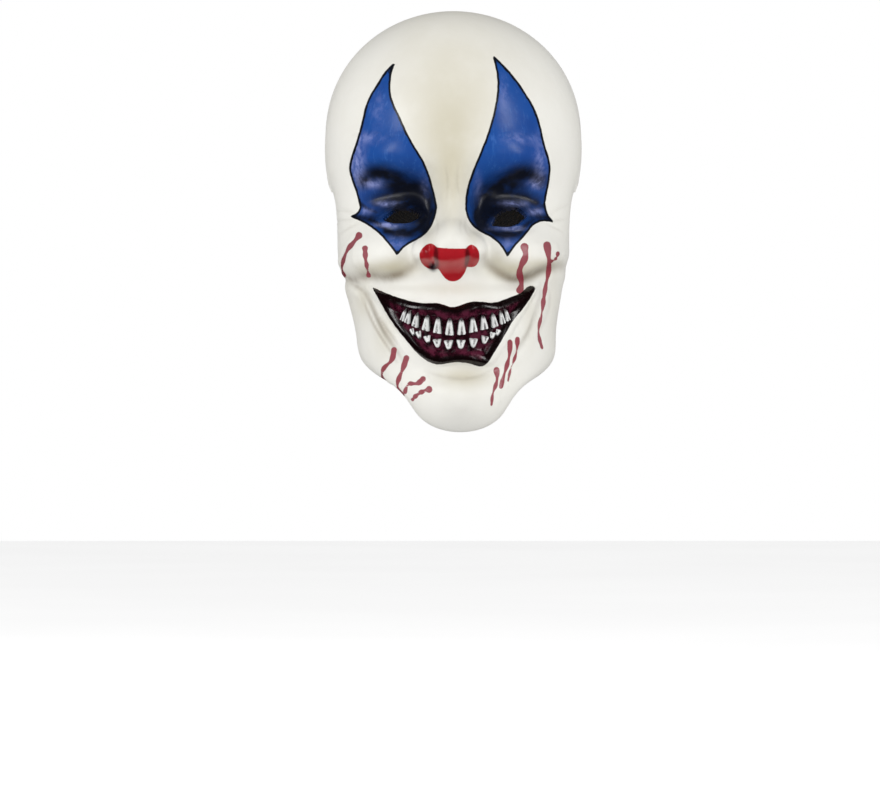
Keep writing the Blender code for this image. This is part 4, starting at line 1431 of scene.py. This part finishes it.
def build_patches():
    """The two glued patches over the ends of the band."""
    _, inner, _ = skin_grids()
    wall = wall_tree(inner)
    half = narrowest(wall)
    material = bare_latex()
    for side, name in ((-1, "left"), (1, "right")):
        patch = build_patch(wall, half, side, f"glued_patch_{name}")
        finish_piece(patch, material, "plain_latex", f"elastic_patch_{name}")


class CLOWNMASK_OT_skin(bpy.types.Operator):
    """Build the painted latex skin"""

    bl_idname = "clown_mask.skin"
    bl_label = "Painted skin"

    def execute(self, context):
        build_skin()
        return {"FINISHED"}


class CLOWNMASK_OT_teeth(bpy.types.Operator):
    """Build both rows of teeth"""

    bl_idname = "clown_mask.teeth"
    bl_label = "Teeth"

    def execute(self, context):
        build_teeth()
        return {"FINISHED"}


class CLOWNMASK_OT_elastic(bpy.types.Operator):
    """Build the woven elastic band"""

    bl_idname = "clown_mask.elastic"
    bl_label = "Elastic"

    def execute(self, context):
        build_elastic()
        return {"FINISHED"}


class CLOWNMASK_OT_patches(bpy.types.Operator):
    """Build the glued patches over the band's ends"""

    bl_idname = "clown_mask.patches"
    bl_label = "Patches"

    def execute(self, context):
        build_patches()
        return {"FINISHED"}


def build_lamps():
    """Soft rectangular lamps; one that isn't mirrored leaves no shape in the gloss."""
    for name, place, size, power, mirrored in LAMPS:
        data = bpy.data.lights.new(name, "AREA")
        data.shape, data.energy = "RECTANGLE", power
        data.size, data.size_y = size
        lamp = link(name, data)
        lamp.location = place
        lamp.rotation_euler = (LAMP_AIM - Vector(place)).to_track_quat("-Z", "Y").to_euler()
        lamp.visible_glossy = mirrored


def build_floor():
    """A wide pale floor, open on every side, that stays out of the gloss."""
    settings = stage_settings()
    half, height = settings.floor_reach, -settings.floor_drop
    signs = ((-1, -1), (1, -1), (1, 1), (-1, 1))
    corners = [(x * half, y * half, height) for x, y in signs]
    data = bpy.data.meshes.new("studio_floor")
    data.from_pydata(corners, [], [(0, 1, 2, 3)])
    floor = link("studio_floor", data)
    data.materials.append(studio_white())
    floor.visible_glossy = False


def build_world():
    """A white surrounding that lights softly and stays out of the gloss."""
    world = bpy.data.worlds.new("studio_world")
    world.use_nodes = True
    nodes = Nodes(world.node_tree)
    path = nodes.add("ShaderNodeLightPath").outputs
    settings = stage_settings()
    strength = nodes.blend(path["Is Camera Ray"], settings.ambient, 1.0)
    background = world.node_tree.nodes["Background"]
    background.inputs["Color"].default_value = (1, 1, 1, 1)
    nodes.tree.links.new(strength, background.inputs["Strength"])
    bpy.context.scene.world = world
    world.cycles_visibility.glossy = False


def build_camera():
    """Camera at the photograph's angle and framing."""
    settings = stage_settings()
    eye_x, eye_z = camera_axis()
    data = bpy.data.cameras.new("camera")
    data.sensor_width = SENSOR_WIDTH
    data.lens = SENSOR_WIDTH * settings.distance / (settings.photo_width * settings.photo_scale)
    data.clip_end = FARTHEST_SEEN
    camera = link("camera", data)
    camera.location = (eye_x, settings.face_plane - settings.distance, eye_z)
    camera.rotation_euler = (math.pi / 2, 0, 0)
    bpy.context.scene.camera = camera


class CLOWNMASK_OT_stage(bpy.types.Operator):
    """Build the studio: floor, lights, world and camera"""

    bl_idname = "clown_mask.stage"
    bl_label = "Studio"

    def execute(self, context):
        build_floor()
        build_lamps()
        build_world()
        build_camera()
        context.scene.view_settings.view_transform = "Standard"
        return {"FINISHED"}


class CLOWNMASK_PT_panel(bpy.types.Panel):
    """Sidebar panel that lists the operators"""

    bl_idname = "CLOWNMASK_PT_panel"
    bl_label = "Clown Mask"
    bl_space_type = "VIEW_3D"
    bl_region_type = "UI"
    bl_category = "Clown Mask"

    def draw(self, context):
        for operator in OPERATORS:
            self.layout.operator(operator.bl_idname)
        for group in ("sizes", "band", "colours", "stage"):
            settings = getattr(context.scene, f"clown_mask_{group}")
            box = self.layout.box()
            for name in settings.bl_rna.properties.keys():
                if name not in ("rna_type", "name"):
                    box.prop(settings, name)


OPERATORS = (
    CLOWNMASK_OT_skin,
    CLOWNMASK_OT_teeth,
    CLOWNMASK_OT_elastic,
    CLOWNMASK_OT_patches,
    CLOWNMASK_OT_stage,
)
GROUPS = {"sizes": MaskSizes, "band": BandSizes, "colours": MaskColours, "stage": StageSettings}


def register():
    for cls in (*GROUPS.values(), *OPERATORS, CLOWNMASK_PT_panel):
        bpy.utils.register_class(cls)
    for name, group in GROUPS.items():
        setattr(bpy.types.Scene, f"clown_mask_{name}", PointerProperty(type=group))


def unregister():
    for name in GROUPS:
        delattr(bpy.types.Scene, f"clown_mask_{name}")
    for cls in (CLOWNMASK_PT_panel, *reversed(OPERATORS), *GROUPS.values()):
        bpy.utils.unregister_class(cls)


def main():
    register()
    bpy.ops.clown_mask.skin()
    bpy.ops.clown_mask.teeth()
    bpy.ops.clown_mask.elastic()
    bpy.ops.clown_mask.patches()
    bpy.ops.clown_mask.stage()


if __name__ == "__main__":
    main()
